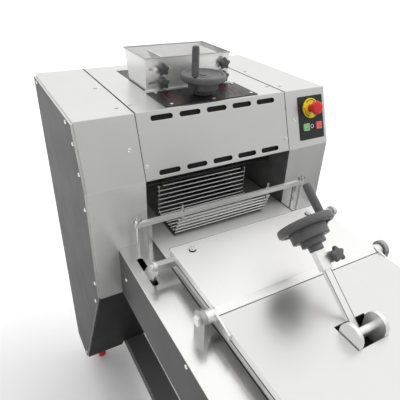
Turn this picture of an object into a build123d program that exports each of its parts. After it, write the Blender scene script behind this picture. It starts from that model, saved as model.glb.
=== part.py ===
"""Long dough moulder: a floor-standing bakery machine on castors.

Two towers joined by a bridge hold the hopper and the sheeting rollers. In front of them
stands a belt table with a linked-rod mat and a pressure board.
X runs to the right, Y to the back and Z up; the origin is on the floor under the middle.
"""
import os
from math import atan2, cos, degrees, hypot, radians, sin, tan

from build123d import *

os.makedirs("parts", exist_ok=True)

# Sheet metal and fits
sheet = 2
fit_gap = 0.3
run_gap = 0.05
seam = 1.5

# Housing, seen from the side
throat_width = 470
tower_width = 152
tower_height = 1192
caster_height = 100
top_depth = 474
nose_reach = 60
nose_drop = 164
knee_drop = 509
foot_depth = 154
end_flange = 18
cover_depth = 6.5
cover_inset = 6
wall_recess = 15
frame_thickness = 8
front_lip = 28
tab_overlap = 18
tab_inset = 40
slope_panel_gap = 10

# Button-head screws of the covers and the table sides
screw_radius = 5.5
screw_height = 2.9
screw_draft = 32
screw_inset = 15
screw_corner_gap = 50
long_edge = 1000
tower_screw_gap = 29
cover_screw_gap = 10
cover_screw_drop = 137
seam_screw_reach = 48
seam_screw_drop = 71
apron_screw_drop = 14
apron_screw_start = 405
apron_screw_pitch = 458

# Vents in the leaning front
vent_length = 63
vent_height = 14
vent_pitch = 82
vent_count = 5
upper_vent_row = 18.3
lower_vent_row = 159

# Table and belt
table_reach = 1060
table_width = 644
deck_drop = 352
belt_offset = 5
belt_width = 456
belt_gap = 5
deck_lip = 18
apron_height = 157
apron_return = 25
drum_radius = 30
belt_thickness = 3
drum_setback = 310
idler_setback = 45
drum_overhang = 2
bed_thickness = 3
bed_clearance = 12
idler_plate = 8
idler_plate_size = 60

# Hopper and index plate on the top face
hopper_width = 273
hopper_setback = 162
hopper_depth = 138
hopper_flare = 32
hopper_height = 91
hopper_skirt = 40
hopper_rim = 2.5
hopper_flange = 9
well_width = 284
well_depth = 250
index_width = 292
index_depth = 130
index_setback = 10
index_thickness = 2

# Guides in the hopper and their star knobs
left_knob_x = -86.5
right_knob_x = 115.5
upper_knob_height = 59.5
lower_knob_height = 20.5
slot_height = 9
slot_outer = 128
slot_inner = 60
knob_radius = 18
knob_lobes = 5
knob_thickness = 12
knob_boss_radius = 9
knob_boss = 6
stud_radius = 4
guide_thickness = 3
guide_height = 100
guide_edge = 8
guide_flange = 10
guide_taper = 50

# Handwheels
wheel_radius = 65
rim_width = 11
rim_height = 19
rim_drop = 4
web_thickness = 11
hub_radius = 43
hub_rise = 27
hub_step = 28
step_rise = 14
neck_radius = 16.5
neck_rise = 13
grip_radius = 10
grip_length = 80
grip_offset = 49
grip_pin = 4
grip_lift = 5
spindle_radius = 8
spindle_clearance = 3
cam_radius = 20
cam_throw = 6
cam_height = 16
cam_clearance = 1.8
top_grip_angle = 214
arm_grip_angle = -7

# Sheeting rollers and drive
roller_radius = 50
roller_length = 440
roller_drop = 130
roller_gap = 4
shaft_radius = 12
bearing_radius = 22
block_thickness = 12
block_height = 70
block_tail = 35
carriage_bar = 16
ledge_height = 12
sprocket_radius = 45
sprocket_width = 8
sprocket_gap = 30
chain_thickness = 7
gearbox_width = 70
gearbox_size = 130
motor_radius = 52
motor_length = 230

# Control panel on the right tower
panel_x = 329
panel_width = 94
panel_height = 132
panel_from_top = 22
panel_thickness = 3
panel_border = 8
estop_x = 325.7
estop_from_top = 59.4
collar_radius = 30
collar_height = 5
mushroom_radius = 20
mushroom_height = 15
estop_stem = 11
estop_lift = 18
button_size = 22
button_from_top = 115
start_x = 305
stop_x = 354.6
button_height = 5
button_body = 12
button_flange = 2

# Linked-rod mat and the bar it hangs from
mat_width = 312
rod_radius = 2.5
link_thickness = 2.4
link_height = 8
mat_back = 112
mat_bend_front = 6
mat_front_top = 27
mat_lift = 6
mat_back_rise = 97
mat_front_rise = 63
back_steps = 6
bed_steps = 8
front_steps = 4
mat_bar_length = 566
mat_bar_height = 14
mat_bar_depth = 10
mat_bar_reach = 30
mat_bar_rise = 84
upright_spread = 494
upright_width = 12
upright_depth = 6
pin_spread = 552
pin_radius = 4
pin_top = 16
wing_span = 26
hook_spread = 288
hook_radius = 3
hook_top = 20
eye_wall = 3
eye_width = 5
rear_bar_radius = 5
rear_bar_lift = 14

# Rear board plate, its bar and its shaft
board_width = 470
rear_top_rise = 69
plate_sheet = 3
flange_height = 19
slab_thickness = 15
rear_back = 141
rear_slab_back = 179
bar_reach = 165
bar_rise = 48
bar_size = 17
bar_length = 582
collar_length = 6
bar_collar = 12
lug_x = 287
lug_thickness = 8
lug_eye = 16
lug_back = 111
lug_length = 38
lug_foot = 8
lug_foot_width = 30
lug_depth = 28
deck_slot_width = 16
deck_slot_back = 60
deck_slot_length = 116
shaft_reach = 363
board_shaft_radius = 9
shaft_clearance = 4
lip_run = 17
post_gap = 3
post_thickness = 11
post_length = 44
nut_radius = 13
nut_length = 8

# Front pressure board
front_step = 8
board_overhang = 1
front_gap = 2.5
board_end = 137
hinge_hub_radius = 15
hinge_hub_length = 18
hinge_hub_gap = 5
hinge_arm = 5
hinge_arm_length = 66
hinge_arm_height = 15
cutout_width = 84
cutout_front = 574
pan_thickness = 3
pan_margin = 10
ear_x = 30
ear_thickness = 10
ear_radius = 27
ear_reach = 547
ear_rise = 70
spacer_radius = 8
stop_setback = 200
stop_thickness = 10
stop_length = 40
stop_finger = 9
stop_overlap = 8

# Adjusting arm on the pressure board
arm_reach = 538
arm_rise = 45
arm_angle = 37
arm_width = 19
arm_depth = 9
arm_length = 168
boss_radius = 9
pivot_radius = 5
sleeve_start = 142
sleeve_end = 186
sleeve_width = 25
sleeve_depth = 16
sleeve_clearance = 0.4
sleeve_plug = 7
stub_radius = 6
stub_length = 6
knob_lug_from = 152
knob_lug_length = 24
knob_lug_width = 32
knob_lug_depth = 12
arm_knob_x = 31

# Base frame and castors
channel_width = 82
channel_height = 50
channel_wall = 4
channel_lip = 14
rail_x = 181
rail_setback = 97
rail_rear = 20
tube = 40
mid_cross = 137
rear_cross = 47
leg_setback = 177
castor_radius = 37.5
castor_width = 32
castor_side_gap = 2
castor_bore = 5
fork_sheet = 3
fork_plate_length = 70
fork_plate_width = 60
fork_foot = 12
castor_trail = 26
swivel_radius = 24
swivel_pin = 6
swivel_gap = 1
rear_castor_inset = 77
rear_castor_x = 318
front_castor_setback = 140

# Places worked out from the sizes above
half_throat = throat_width / 2
outer_x = half_throat + tower_width
wall_x = half_throat + wall_recess
overall_length = table_reach + nose_reach + top_depth
back_y = overall_length / 2
front_y = -back_y
top_front_y = back_y - top_depth
nose_y = top_front_y - nose_reach
foot_y = back_y - foot_depth
top_z = caster_height + tower_height
nose_z = top_z - nose_drop
knee_z = top_z - knee_drop
deck_z = top_z - deck_drop
half_table = table_width / 2
front_board_width = board_width + 2 * board_overhang
hinge_hub_x = board_width / 2 + hinge_hub_gap
post_x = hinge_hub_x + hinge_hub_length + post_gap + post_thickness / 2
belt_left = belt_offset - belt_width / 2
belt_right = belt_offset + belt_width / 2
belt_inner = drum_radius + fit_gap
belt_outer = belt_inner + belt_thickness
drum_z = deck_z - belt_outer
drum_y = nose_y + drum_setback
idler_y = front_y + idler_setback
hopper_y = top_front_y + hopper_setback
nip_y = hopper_y + hopper_depth / 2
roller_z = top_z - roller_drop
fixed_roller_y = nip_y + roller_radius
moving_roller_y = fixed_roller_y - 2 * roller_radius - roller_gap
spindle_y = top_front_y + index_setback + index_depth / 2
sprocket_x = -wall_x - frame_thickness - sprocket_gap
mat_bar_y = nose_y - mat_bar_reach
mat_bar_z = deck_z + mat_bar_rise
board_bar_y = nose_y - bar_reach
board_bar_z = deck_z + bar_rise
rear_top = deck_z + rear_top_rise
shaft_y = nose_y - shaft_reach
shaft_z = rear_top - plate_sheet - shaft_clearance - board_shaft_radius
front_top = rear_top - front_step
board_front = front_y + board_end
pivot_y = nose_y - arm_reach
pivot_z = deck_z + arm_rise
slope_run = (foot_y - nose_y) / (knee_z - caster_height)

housing_corners = (
    (back_y, caster_height),
    (back_y, top_z),
    (top_front_y, top_z),
    (nose_y, nose_z),
    (nose_y, knee_z),
    (foot_y, caster_height),
)
leaning_face = Plane(
    origin=(0, top_front_y, top_z), x_dir=(1, 0, 0), z_dir=(0, -nose_drop, nose_reach)
)
arm_along = (0, cos(radians(arm_angle)), sin(radians(arm_angle)))
arm_base = Plane(origin=(0, pivot_y, pivot_z), x_dir=(1, 0, 0), z_dir=arm_along)


def save(part, name):
    """Labels a finished piece and writes it to its own file."""
    part.label = name
    export_step(part, f"parts/{name}.step")


def group(name, *pieces):
    """Keeps pieces of one kind together in one file without joining them."""
    solids = []
    for piece in pieces:
        solids.extend(piece.solids())
    save(Compound(children=solids), name)


# Towers: bent sheet round the side outline, with a flange for the side cover
def tower_skin(side):
    with BuildPart() as skin:
        with BuildSketch(Plane.YZ.offset(side * half_throat)):
            with BuildLine():
                Polyline(*housing_corners, close=True)
            outline = make_face()
            offset(outline, -sheet, kind=Kind.INTERSECTION, mode=Mode.SUBTRACT)
        extrude(amount=side * tower_width)
        with BuildSketch(Plane.YZ.offset(side * outer_x)):
            with BuildLine():
                Polyline(*housing_corners, close=True)
            outline = make_face()
            offset(outline, -end_flange, kind=Kind.INTERSECTION, mode=Mode.SUBTRACT)
        extrude(amount=-side * sheet)
    return skin.part


save(tower_skin(-1), "left_housing")

# The right tower is cut open behind the control plate
with BuildPart() as right_housing:
    add(tower_skin(1))
    with BuildSketch(leaning_face):
        with Locations((panel_x, -panel_from_top - panel_height / 2)):
            Rectangle(panel_width - 2 * panel_border, panel_height - 2 * panel_border)
    extrude(amount=-2 * sheet, mode=Mode.SUBTRACT)
save(right_housing.part, "right_housing")


# Side covers: shallow pressed trays on the outer ends of the towers
def side_cover(side):
    with BuildPart() as cover:
        with BuildSketch(Plane.YZ.offset(side * outer_x)):
            with BuildLine():
                Polyline(*housing_corners, close=True)
            make_face()
            offset(amount=-cover_inset, kind=Kind.INTERSECTION, mode=Mode.REPLACE)
        extrude(amount=side * cover_depth)
        with BuildSketch(Plane.YZ.offset(side * outer_x)):
            with BuildLine():
                Polyline(*housing_corners, close=True)
            make_face()
            offset(amount=-cover_inset - sheet, kind=Kind.INTERSECTION, mode=Mode.REPLACE)
        extrude(amount=side * (cover_depth - sheet), mode=Mode.SUBTRACT)
    return cover.part


group("side_covers", side_cover(-1), side_cover(1))


# Cover screws: button heads along the edges of the covers, on the leaning front and on the table sides
def screw_head(seat, x, y):
    with BuildPart() as head:
        with BuildSketch(seat):
            with Locations((x, y)):
                Circle(screw_radius)
        extrude(amount=screw_height, taper=screw_draft)
    return head.part


screw_heads = []
lean_middle = hypot(nose_reach, nose_drop) / 2
for side in (-1, 1):
    cover_face = Plane(origin=(side * (outer_x + cover_depth), 0, 0), x_dir=(0, side, 0), z_dir=(side, 0, 0))
    for start, end in zip(housing_corners, housing_corners[1:]):
        run = end[0] - start[0]
        rise = end[1] - start[1]
        length = hypot(run, rise)
        count = 3 if length > long_edge else 2
        for step in range(count):
            reach = screw_corner_gap + step * (length - 2 * screw_corner_gap) / (count - 1)
            spot_y = start[0] + (reach * run - screw_inset * rise) / length
            spot_z = start[1] + (reach * rise + screw_inset * run) / length
            screw_heads.append(screw_head(cover_face, side * spot_y, spot_z))
    screw_heads.append(screw_head(leaning_face, side * (half_throat + tower_screw_gap), -lean_middle))
    screw_heads.append(screw_head(leaning_face, side * (half_throat - cover_screw_gap), -cover_screw_drop))
    apron_face = Plane(origin=(side * half_table, 0, 0), x_dir=(0, side, 0), z_dir=(side, 0, 0))
    screw_heads.append(screw_head(apron_face, side * (nose_y - seam_screw_reach), deck_z - seam_screw_drop))
    for step in range(2):
        spot_y = nose_y - apron_screw_start - step * apron_screw_pitch
        screw_heads.append(screw_head(apron_face, side * spot_y, deck_z - apron_screw_drop))
group("cover_screws", *screw_heads)

# Frame plates: thick inner walls that carry the shafts and the ledges of the carriage
frame_shafts = ((drum_y, drum_z), (fixed_roller_y, roller_z))
carriage_face = spindle_y + cam_throw + cam_radius + cam_clearance
block_back = moving_roller_y + block_tail
block_bottom = roller_z - block_height / 2


def frame_plate(side):
    with BuildPart() as plate:
        with BuildSketch(Plane.YZ.offset(side * wall_x)):
            with BuildLine():
                Polyline(*housing_corners, close=True)
            make_face()
            offset(amount=-sheet - fit_gap, kind=Kind.INTERSECTION, mode=Mode.REPLACE)
            with Locations(*frame_shafts):
                Circle(bearing_radius + run_gap, mode=Mode.SUBTRACT)
        extrude(amount=side * frame_thickness)
        with BuildSketch(Plane.YZ.offset(side * wall_x)):
            with Locations(((carriage_face + block_back) / 2, block_bottom - fit_gap)):
                Rectangle(block_back - carriage_face + 2 * ledge_height, ledge_height,
                          align=(Align.CENTER, Align.MAX))
        extrude(amount=-side * block_thickness)
    return plate.part


group("frame_plates", frame_plate(-1), frame_plate(1))

# Shaft bearings: rings in the frame plates, and plates under the deck for the idler drum
with BuildPart() as frame_bearings:
    for side in (-1, 1):
        with BuildSketch(Plane.YZ.offset(side * wall_x)):
            with Locations(*frame_shafts):
                Circle(bearing_radius)
                Circle(shaft_radius + run_gap, mode=Mode.SUBTRACT)
        extrude(amount=side * frame_thickness)

idler_plate_gap = belt_gap + sheet
with BuildPart() as idler_bearings:
    for start in (belt_left - idler_plate_gap - idler_plate, belt_right + idler_plate_gap):
        with BuildSketch(Plane.YZ.offset(start)):
            with Locations((idler_y, deck_z - sheet)):
                Rectangle(idler_plate_size, belt_outer + idler_plate_size / 2,
                          align=(Align.CENTER, Align.MAX))
            with Locations((idler_y, drum_z)):
                Circle(shaft_radius + run_gap, mode=Mode.SUBTRACT)
        extrude(amount=idler_plate)
group("shaft_bearings", frame_bearings.part, idler_bearings.part)

# Centre cover: one bent sheet that makes the top, the leaning vented front and the lip under it
cover_half = half_throat - seam
lean_length = hypot(nose_reach, nose_drop)


def inside_lean(height):
    """How far back the inner skin of the leaning front lies at a height."""
    start_y = top_front_y + sheet * nose_drop / lean_length
    start_z = top_z - sheet * nose_reach / lean_length
    return start_y + (height - start_z) * nose_reach / nose_drop


with BuildPart() as centre_cover:
    with BuildSketch(Plane.YZ.offset(-cover_half)):
        with BuildLine():
            Polyline(
                (back_y - sheet, top_z),
                (top_front_y, top_z),
                (nose_y, nose_z),
                (nose_y + front_lip, nose_z),
                (nose_y + front_lip, nose_z + sheet),
                (inside_lean(nose_z + sheet), nose_z + sheet),
                (inside_lean(top_z - sheet), top_z - sheet),
                (back_y - sheet, top_z - sheet),
                close=True,
            )
        make_face()
    extrude(amount=2 * cover_half)
    tab_width = wall_x - cover_half + tab_overlap
    tab_y = (top_front_y + back_y) / 2
    with BuildSketch(Plane.XY.offset(top_z - sheet)):
        with Locations((-wall_x + tab_width / 2, tab_y), (wall_x - tab_width / 2, tab_y)):
            Rectangle(tab_width, top_depth - 2 * tab_inset)
    extrude(amount=-sheet)
    with BuildSketch(Plane.XY.offset(top_z)):
        with Locations((0, hopper_y - fit_gap)):
            Rectangle(well_width, well_depth, align=(Align.CENTER, Align.MIN))
        with Locations((0, spindle_y)):
            Circle(spindle_radius + spindle_clearance)
    extrude(amount=-2 * sheet, mode=Mode.SUBTRACT)
    with BuildSketch(leaning_face):
        for row in (upper_vent_row, lower_vent_row):
            for number in range(vent_count):
                with Locations(((number - (vent_count - 1) / 2) * vent_pitch, -row)):
                    SlotOverall(vent_length, vent_height)
    extrude(amount=-2 * sheet, mode=Mode.SUBTRACT)
save(centre_cover.part, "centre_cover")

# Rear panel and lower front panel close the housing between the towers
with BuildPart() as rear_panel:
    with BuildSketch(Plane.XY.offset(caster_height)):
        with Locations((0, back_y - sheet / 2)):
            Rectangle(2 * cover_half, sheet)
    extrude(amount=tower_height)
save(rear_panel.part, "rear_panel")

rail_top = caster_height + channel_height
panel_top = drum_z - belt_outer - slope_panel_gap
panel_bottom = rail_top + slope_panel_gap
panel_bottom_y = foot_y - (panel_bottom - caster_height) * slope_run
slope_skin = sheet * hypot(1, slope_run)
with BuildPart() as lower_front_panel:
    with BuildSketch(Plane.YZ.offset(-cover_half)):
        with BuildLine():
            Polyline(
                (nose_y, panel_top),
                (nose_y, knee_z),
                (panel_bottom_y, panel_bottom),
                (panel_bottom_y + slope_skin, panel_bottom),
                (nose_y + sheet, knee_z + (slope_skin - sheet) / slope_run),
                (nose_y + sheet, panel_top),
                close=True,
            )
        make_face()
    extrude(amount=2 * cover_half)
    with BuildSketch(Plane.XZ.offset(-nose_y - sheet)):
        with Locations((-wall_x + tab_width / 2, panel_top), (wall_x - tab_width / 2, panel_top)):
            Rectangle(tab_width, tab_inset, align=(Align.CENTER, Align.MAX))
    extrude(amount=-sheet)
save(lower_front_panel.part, "lower_front_panel")

# Index plate: black scale plate under the gap handwheel
with BuildPart() as index_plate:
    with BuildSketch(Plane.XY.offset(top_z)):
        with Locations((0, spindle_y)):
            Rectangle(index_width, index_depth)
            Circle(spindle_radius + run_gap, mode=Mode.SUBTRACT)
    extrude(amount=index_thickness)
save(index_plate.part, "index_plate")

# Hopper: folded sheet chute with a rolled rim and a foot flange on the top cover
hopper_top = top_z + hopper_height
hopper_back = hopper_y + hopper_depth
with BuildPart() as hopper:
    with BuildSketch(Plane.YZ.offset(-hopper_width / 2)):
        with BuildLine():
            Polyline(
                (hopper_y, top_z - hopper_skirt),
                (hopper_y, hopper_top),
                (hopper_back + hopper_flare, hopper_top),
                (hopper_back, top_z),
                (hopper_back, top_z - hopper_skirt),
                close=True,
            )
        make_face()
    extrude(amount=hopper_width)
    with BuildSketch(Plane.YZ.offset(sheet - hopper_width / 2)):
        with BuildLine():
            Polyline(
                (hopper_y + sheet, top_z - hopper_skirt),
                (hopper_y + sheet, hopper_top),
                (hopper_back + hopper_flare - sheet, hopper_top),
                (hopper_back - sheet, top_z),
                (hopper_back - sheet, top_z - hopper_skirt),
                close=True,
            )
        make_face()
    extrude(amount=hopper_width - 2 * sheet, mode=Mode.SUBTRACT)
    rim_y = hopper_y + (hopper_depth + hopper_flare) / 2
    with BuildSketch(Plane.XY.offset(hopper_top)):
        with Locations((0, rim_y)):
            Rectangle(hopper_width + 2 * hopper_rim, hopper_depth + hopper_flare + 2 * hopper_rim)
            Rectangle(hopper_width - 2 * sheet, hopper_depth + hopper_flare - 2 * sheet,
                      mode=Mode.SUBTRACT)
    extrude(amount=-2 * hopper_rim)
    with BuildSketch(Plane.XY.offset(top_z)):
        with Locations((0, hopper_y)):
            Rectangle(well_width, hopper_flange, align=(Align.CENTER, Align.MAX))
    extrude(amount=sheet)
    with BuildSketch(Plane(origin=(0, hopper_y, top_z), x_dir=(1, 0, 0), z_dir=(0, -1, 0))):
        for side in (-1, 1):
            for height in (lower_knob_height, upper_knob_height):
                with Locations((side * (slot_outer + slot_inner) / 2, height)):
                    SlotOverall(slot_outer - slot_inner, slot_height)
    extrude(amount=-2 * sheet, mode=Mode.SUBTRACT)
save(hopper.part, "hopper")


# Guides: bent plates in the hopper that set the width of the dough
def hopper_guide(side, knob_x):
    inner_y = hopper_y + sheet + fit_gap
    guide_top = hopper_top - 2 * hopper_rim
    top_x = knob_x - side * guide_edge
    bottom_x = top_x - side * guide_taper
    with BuildPart() as guide:
        with BuildSketch(Plane.XZ.offset(-inner_y)):
            with BuildLine():
                Polyline(
                    (top_x, guide_top),
                    (bottom_x, guide_top - guide_height),
                    (bottom_x - side * guide_thickness, guide_top - guide_height),
                    (top_x - side * guide_thickness, guide_top),
                    close=True,
                )
            make_face()
        extrude(amount=-(hopper_depth - 2 * sheet - 2 * guide_thickness))
        with BuildSketch(Plane.XZ.offset(-inner_y)):
            with BuildLine():
                Polyline(
                    (top_x, guide_top),
                    (bottom_x, guide_top - guide_height),
                    (knob_x + side * guide_flange, guide_top - guide_height),
                    (knob_x + side * guide_flange, guide_top),
                    close=True,
                )
            make_face()
            with Locations((knob_x, top_z + lower_knob_height), (knob_x, top_z + upper_knob_height)):
                Circle(stud_radius + run_gap, mode=Mode.SUBTRACT)
        extrude(amount=-guide_thickness)
    return guide.part


save(hopper_guide(-1, left_knob_x), "left_guide")
save(hopper_guide(1, right_knob_x), "right_guide")


# Star knobs: five-lobed heads on a threaded stud
def star_knob(seat, stud):
    with BuildPart() as knob:
        with BuildSketch(seat.offset(fit_gap)):
            Circle(knob_boss_radius)
        extrude(amount=knob_boss)
        with BuildSketch(seat.offset(fit_gap + knob_boss)):
            Circle(knob_radius * 0.72)
            with PolarLocations(knob_radius * 0.68, knob_lobes, start_angle=90):
                Circle(knob_radius * 0.32)
        extrude(amount=knob_thickness)
        with BuildSketch(seat.offset(fit_gap)):
            Circle(stud_radius)
        extrude(amount=-stud)
    return knob.part


knob_places = {
    "upper_left_knob": (left_knob_x, upper_knob_height),
    "lower_left_knob": (left_knob_x, lower_knob_height),
    "upper_right_knob": (right_knob_x, upper_knob_height),
    "lower_right_knob": (right_knob_x, lower_knob_height),
}
for name, (knob_x, height) in knob_places.items():
    seat = Plane(origin=(knob_x, hopper_y, top_z + height), x_dir=(1, 0, 0), z_dir=(0, -1, 0))
    save(star_knob(seat, sheet + guide_thickness + 2 * fit_gap), name)


# Handwheels: a turned disc with a raised rim on a stepped hub
hub_height = step_rise + hub_rise
web_top = hub_height + web_thickness


def handwheel(seat, grip_angle):
    section = Plane(origin=seat.origin, x_dir=seat.x_dir, z_dir=-seat.y_dir)
    rim_middle = wheel_radius - rim_width / 2
    with BuildPart() as wheel:
        with BuildSketch(section):
            with BuildLine():
                Polyline(
                    (0, 0),
                    (hub_step, 0),
                    (hub_step, step_rise),
                    (hub_radius, step_rise),
                    (hub_radius, hub_height),
                    (rim_middle, hub_height),
                    (rim_middle, web_top),
                    (0, web_top),
                    close=True,
                )
            make_face()
            with Locations((rim_middle, hub_height - rim_drop + rim_height / 2)):
                RectangleRounded(rim_width, rim_height, rim_width * 0.4)
        revolve(axis=Axis(seat.origin, seat.z_dir))
        with BuildSketch(seat.offset(web_top)):
            with PolarLocations(grip_offset, 1, start_angle=grip_angle):
                Circle(grip_pin + run_gap)
        extrude(amount=-web_thickness, mode=Mode.SUBTRACT)
    return wheel.part


# Grips: turned handles that spin on a pin in the wheel
def wheel_grip(seat, grip_angle):
    with BuildPart() as grip:
        with BuildSketch(seat.offset(web_top + grip_lift)):
            with PolarLocations(grip_offset, 1, start_angle=grip_angle):
                Circle(grip_radius)
        extrude(amount=grip_length)
        fillet(edges().filter_by(GeomType.CIRCLE), grip_radius * 0.3)
        with BuildSketch(seat.offset(web_top + grip_lift)):
            with PolarLocations(grip_offset, 1, start_angle=grip_angle):
                Circle(grip_pin)
        extrude(amount=-grip_lift - web_thickness + fit_gap)
    return grip.part


# Gap handwheel with its spindle and the eccentric that pushes the roller carriage
wheel_seat = Plane.XY.offset(top_z + index_thickness + 2 * fit_gap).move(Location((0, spindle_y, 0)))
cam_top = roller_z + block_height / 2
with BuildPart() as gap_wheel:
    add(handwheel(wheel_seat, top_grip_angle))
    with BuildSketch(wheel_seat):
        Circle(spindle_radius)
    extrude(amount=cam_top - carriage_bar - wheel_seat.origin.Z)
    with BuildSketch(Plane.XY.offset(cam_top - carriage_bar)):
        with Locations((0, spindle_y + cam_throw)):
            Circle(cam_radius)
    extrude(amount=cam_height)
save(gap_wheel.part, "gap_wheel")
save(wheel_grip(wheel_seat, top_grip_angle), "gap_grip")

# Roller carriage: two bearing blocks joined by a bar, sliding on the ledges of the frame plates
block_x = wall_x - fit_gap - block_thickness
with BuildPart() as roller_carriage:
    for side in (-1, 1):
        with BuildSketch(Plane.YZ.offset(side * block_x)):
            with Locations((carriage_face, roller_z)):
                Rectangle(block_back - carriage_face, block_height, align=(Align.MIN, Align.CENTER))
            with Locations((moving_roller_y, roller_z)):
                Circle(shaft_radius + run_gap, mode=Mode.SUBTRACT)
        extrude(amount=side * block_thickness)
    with BuildSketch(Plane.YZ.offset(-block_x)):
        with Locations((carriage_face, cam_top)):
            Rectangle(carriage_bar, carriage_bar, align=(Align.MIN, Align.MAX))
    extrude(amount=2 * block_x)
save(roller_carriage.part, "roller_carriage")


# Rollers and drums: a turned body on a through shaft, with a sprocket on the driven ones
def turned_roll(centre_y, centre_z, radius, body, shaft, driven):
    axle = Plane(origin=(0, centre_y, centre_z), x_dir=(0, 1, 0), z_dir=(1, 0, 0))
    with BuildPart() as roll:
        with BuildSketch(axle.offset(body[0])):
            Circle(radius)
        extrude(amount=body[1] - body[0])
        with BuildSketch(axle.offset(shaft[0])):
            Circle(shaft_radius)
        extrude(amount=shaft[1] - shaft[0])
        if driven:
            with BuildSketch(axle.offset(sprocket_x)):
                Circle(sprocket_radius)
            extrude(amount=sprocket_width)
    return roll.part


roller_body = (-roller_length / 2, roller_length / 2)
drum_body = (belt_left - drum_overhang, belt_right + drum_overhang)
carriage_shaft = (-wall_x + 2 * fit_gap, wall_x - 2 * fit_gap)
roller_shaft = (sprocket_x - fit_gap, wall_x + frame_thickness)
drum_shaft = (sprocket_x - fit_gap, wall_x + frame_thickness + gearbox_width / 2)
idler_shaft = (
    belt_left - idler_plate_gap - idler_plate,
    belt_right + idler_plate_gap + idler_plate,
)
moving_roller = turned_roll(
    moving_roller_y, roller_z, roller_radius, roller_body, carriage_shaft, False
)
fixed_roller = turned_roll(fixed_roller_y, roller_z, roller_radius, roller_body, roller_shaft, True)
drive_drum = turned_roll(drum_y, drum_z, drum_radius, drum_body, drum_shaft, True)
idler_drum = turned_roll(idler_y, drum_z, drum_radius, drum_body, idler_shaft, False)
save(moving_roller, "moving_roller")
save(fixed_roller, "fixed_roller")
save(drive_drum, "drive_drum")
save(idler_drum, "idler_drum")

# Drive chain: a smooth band round the two sprockets
chain_inside = sprocket_radius + fit_gap
with BuildPart() as drive_chain:
    with BuildSketch(Plane.YZ.offset(sprocket_x)):
        with Locations(*frame_shafts):
            Circle(chain_inside + chain_thickness)
        make_hull()
    extrude(amount=sprocket_width)
    with BuildSketch(Plane.YZ.offset(sprocket_x)):
        with Locations(*frame_shafts):
            Circle(chain_inside)
        make_hull()
    extrude(amount=sprocket_width, mode=Mode.SUBTRACT)
save(drive_chain.part, "drive_chain")

# Gearmotor: hollow-shaft gearbox on the drum shaft with a hanging motor
gear_x = wall_x + frame_thickness
with BuildPart() as gearmotor:
    with BuildSketch(Plane.YZ.offset(gear_x)):
        with Locations((drum_y, drum_z)):
            RectangleRounded(gearbox_size, gearbox_size, gearbox_size * 0.15)
            Circle(shaft_radius + run_gap, mode=Mode.SUBTRACT)
    extrude(amount=gearbox_width)
    with BuildSketch(Plane.XY.offset(drum_z - gearbox_size / 2)):
        with Locations((gear_x + motor_radius + sheet, drum_y)):
            Circle(motor_radius)
    extrude(amount=-motor_length)
save(gearmotor.part, "gearmotor")

# Control plate with its emergency stop and two square buttons on the leaning face
with BuildPart() as control_plate:
    with BuildSketch(leaning_face):
        with Locations((panel_x, -panel_from_top - panel_height / 2)):
            RectangleRounded(panel_width, panel_height, panel_thickness)
        with Locations((estop_x, -estop_from_top)):
            Circle(estop_stem + fit_gap, mode=Mode.SUBTRACT)
        with Locations((start_x, -button_from_top), (stop_x, -button_from_top)):
            Rectangle(button_size + 2 * fit_gap, button_size + 2 * fit_gap, mode=Mode.SUBTRACT)
    extrude(amount=panel_thickness)
save(control_plate.part, "control_plate")

panel_face = leaning_face.offset(panel_thickness)
with BuildPart() as estop_collar:
    with BuildSketch(panel_face):
        with Locations((estop_x, -estop_from_top)):
            Circle(collar_radius)
            Circle(estop_stem + fit_gap, mode=Mode.SUBTRACT)
    extrude(amount=collar_height)
save(estop_collar.part, "estop_collar")

estop_seat = panel_face.offset(collar_height + estop_lift)
with BuildPart() as estop_button:
    with BuildSketch(estop_seat):
        with Locations((estop_x, -estop_from_top)):
            Circle(mushroom_radius)
    extrude(amount=mushroom_height)
    outward = Axis(leaning_face.origin, leaning_face.z_dir)
    fillet(edges().filter_by(GeomType.CIRCLE).sort_by(outward)[-1], mushroom_height * 0.5)
    with BuildSketch(estop_seat):
        with Locations((estop_x, -estop_from_top)):
            Circle(estop_stem)
    extrude(amount=-collar_height - estop_lift - panel_thickness - button_body)
save(estop_button.part, "estop_button")


def square_button(button_x):
    with BuildPart() as button:
        with BuildSketch(panel_face.offset(button_height)):
            with Locations((button_x, -button_from_top)):
                RectangleRounded(button_size, button_size, panel_thickness)
        extrude(amount=-button_height - panel_thickness - fit_gap)
        with BuildSketch(leaning_face.offset(-fit_gap)):
            with Locations((button_x, -button_from_top)):
                Rectangle(button_size + 2 * button_flange, button_size + 2 * button_flange)
        extrude(amount=-button_flange)
    return button.part


save(square_button(start_x), "start_button")
save(square_button(stop_x), "stop_button")


# Table sides: bent sheet with a deck strip, an inner lip, an outer apron and a return below
def table_side(side):
    inner_x = belt_left - belt_gap if side < 0 else belt_right + belt_gap
    outer = side * half_table
    apron_z = deck_z - apron_height
    with BuildPart() as table:
        with BuildSketch(Plane.XZ.offset(-nose_y)):
            with BuildLine():
                Polyline(
                    (inner_x, deck_z - deck_lip),
                    (inner_x, deck_z),
                    (outer, deck_z),
                    (outer, apron_z),
                    (outer - side * apron_return, apron_z),
                    (outer - side * apron_return, apron_z + sheet),
                    (outer - side * sheet, apron_z + sheet),
                    (outer - side * sheet, deck_z - sheet),
                    (inner_x + side * sheet, deck_z - sheet),
                    (inner_x + side * sheet, deck_z - deck_lip),
                    close=True,
                )
            make_face()
        extrude(amount=table_reach - sheet)
        with BuildSketch(Plane.XY.offset(deck_z)):
            with Locations((side * lug_x, nose_y - deck_slot_back - deck_slot_length / 2)):
                SlotOverall(deck_slot_length, deck_slot_width, rotation=90)
        extrude(amount=-2 * sheet, mode=Mode.SUBTRACT)
    return table.part


save(table_side(-1), "left_table")
save(table_side(1), "right_table")

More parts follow.
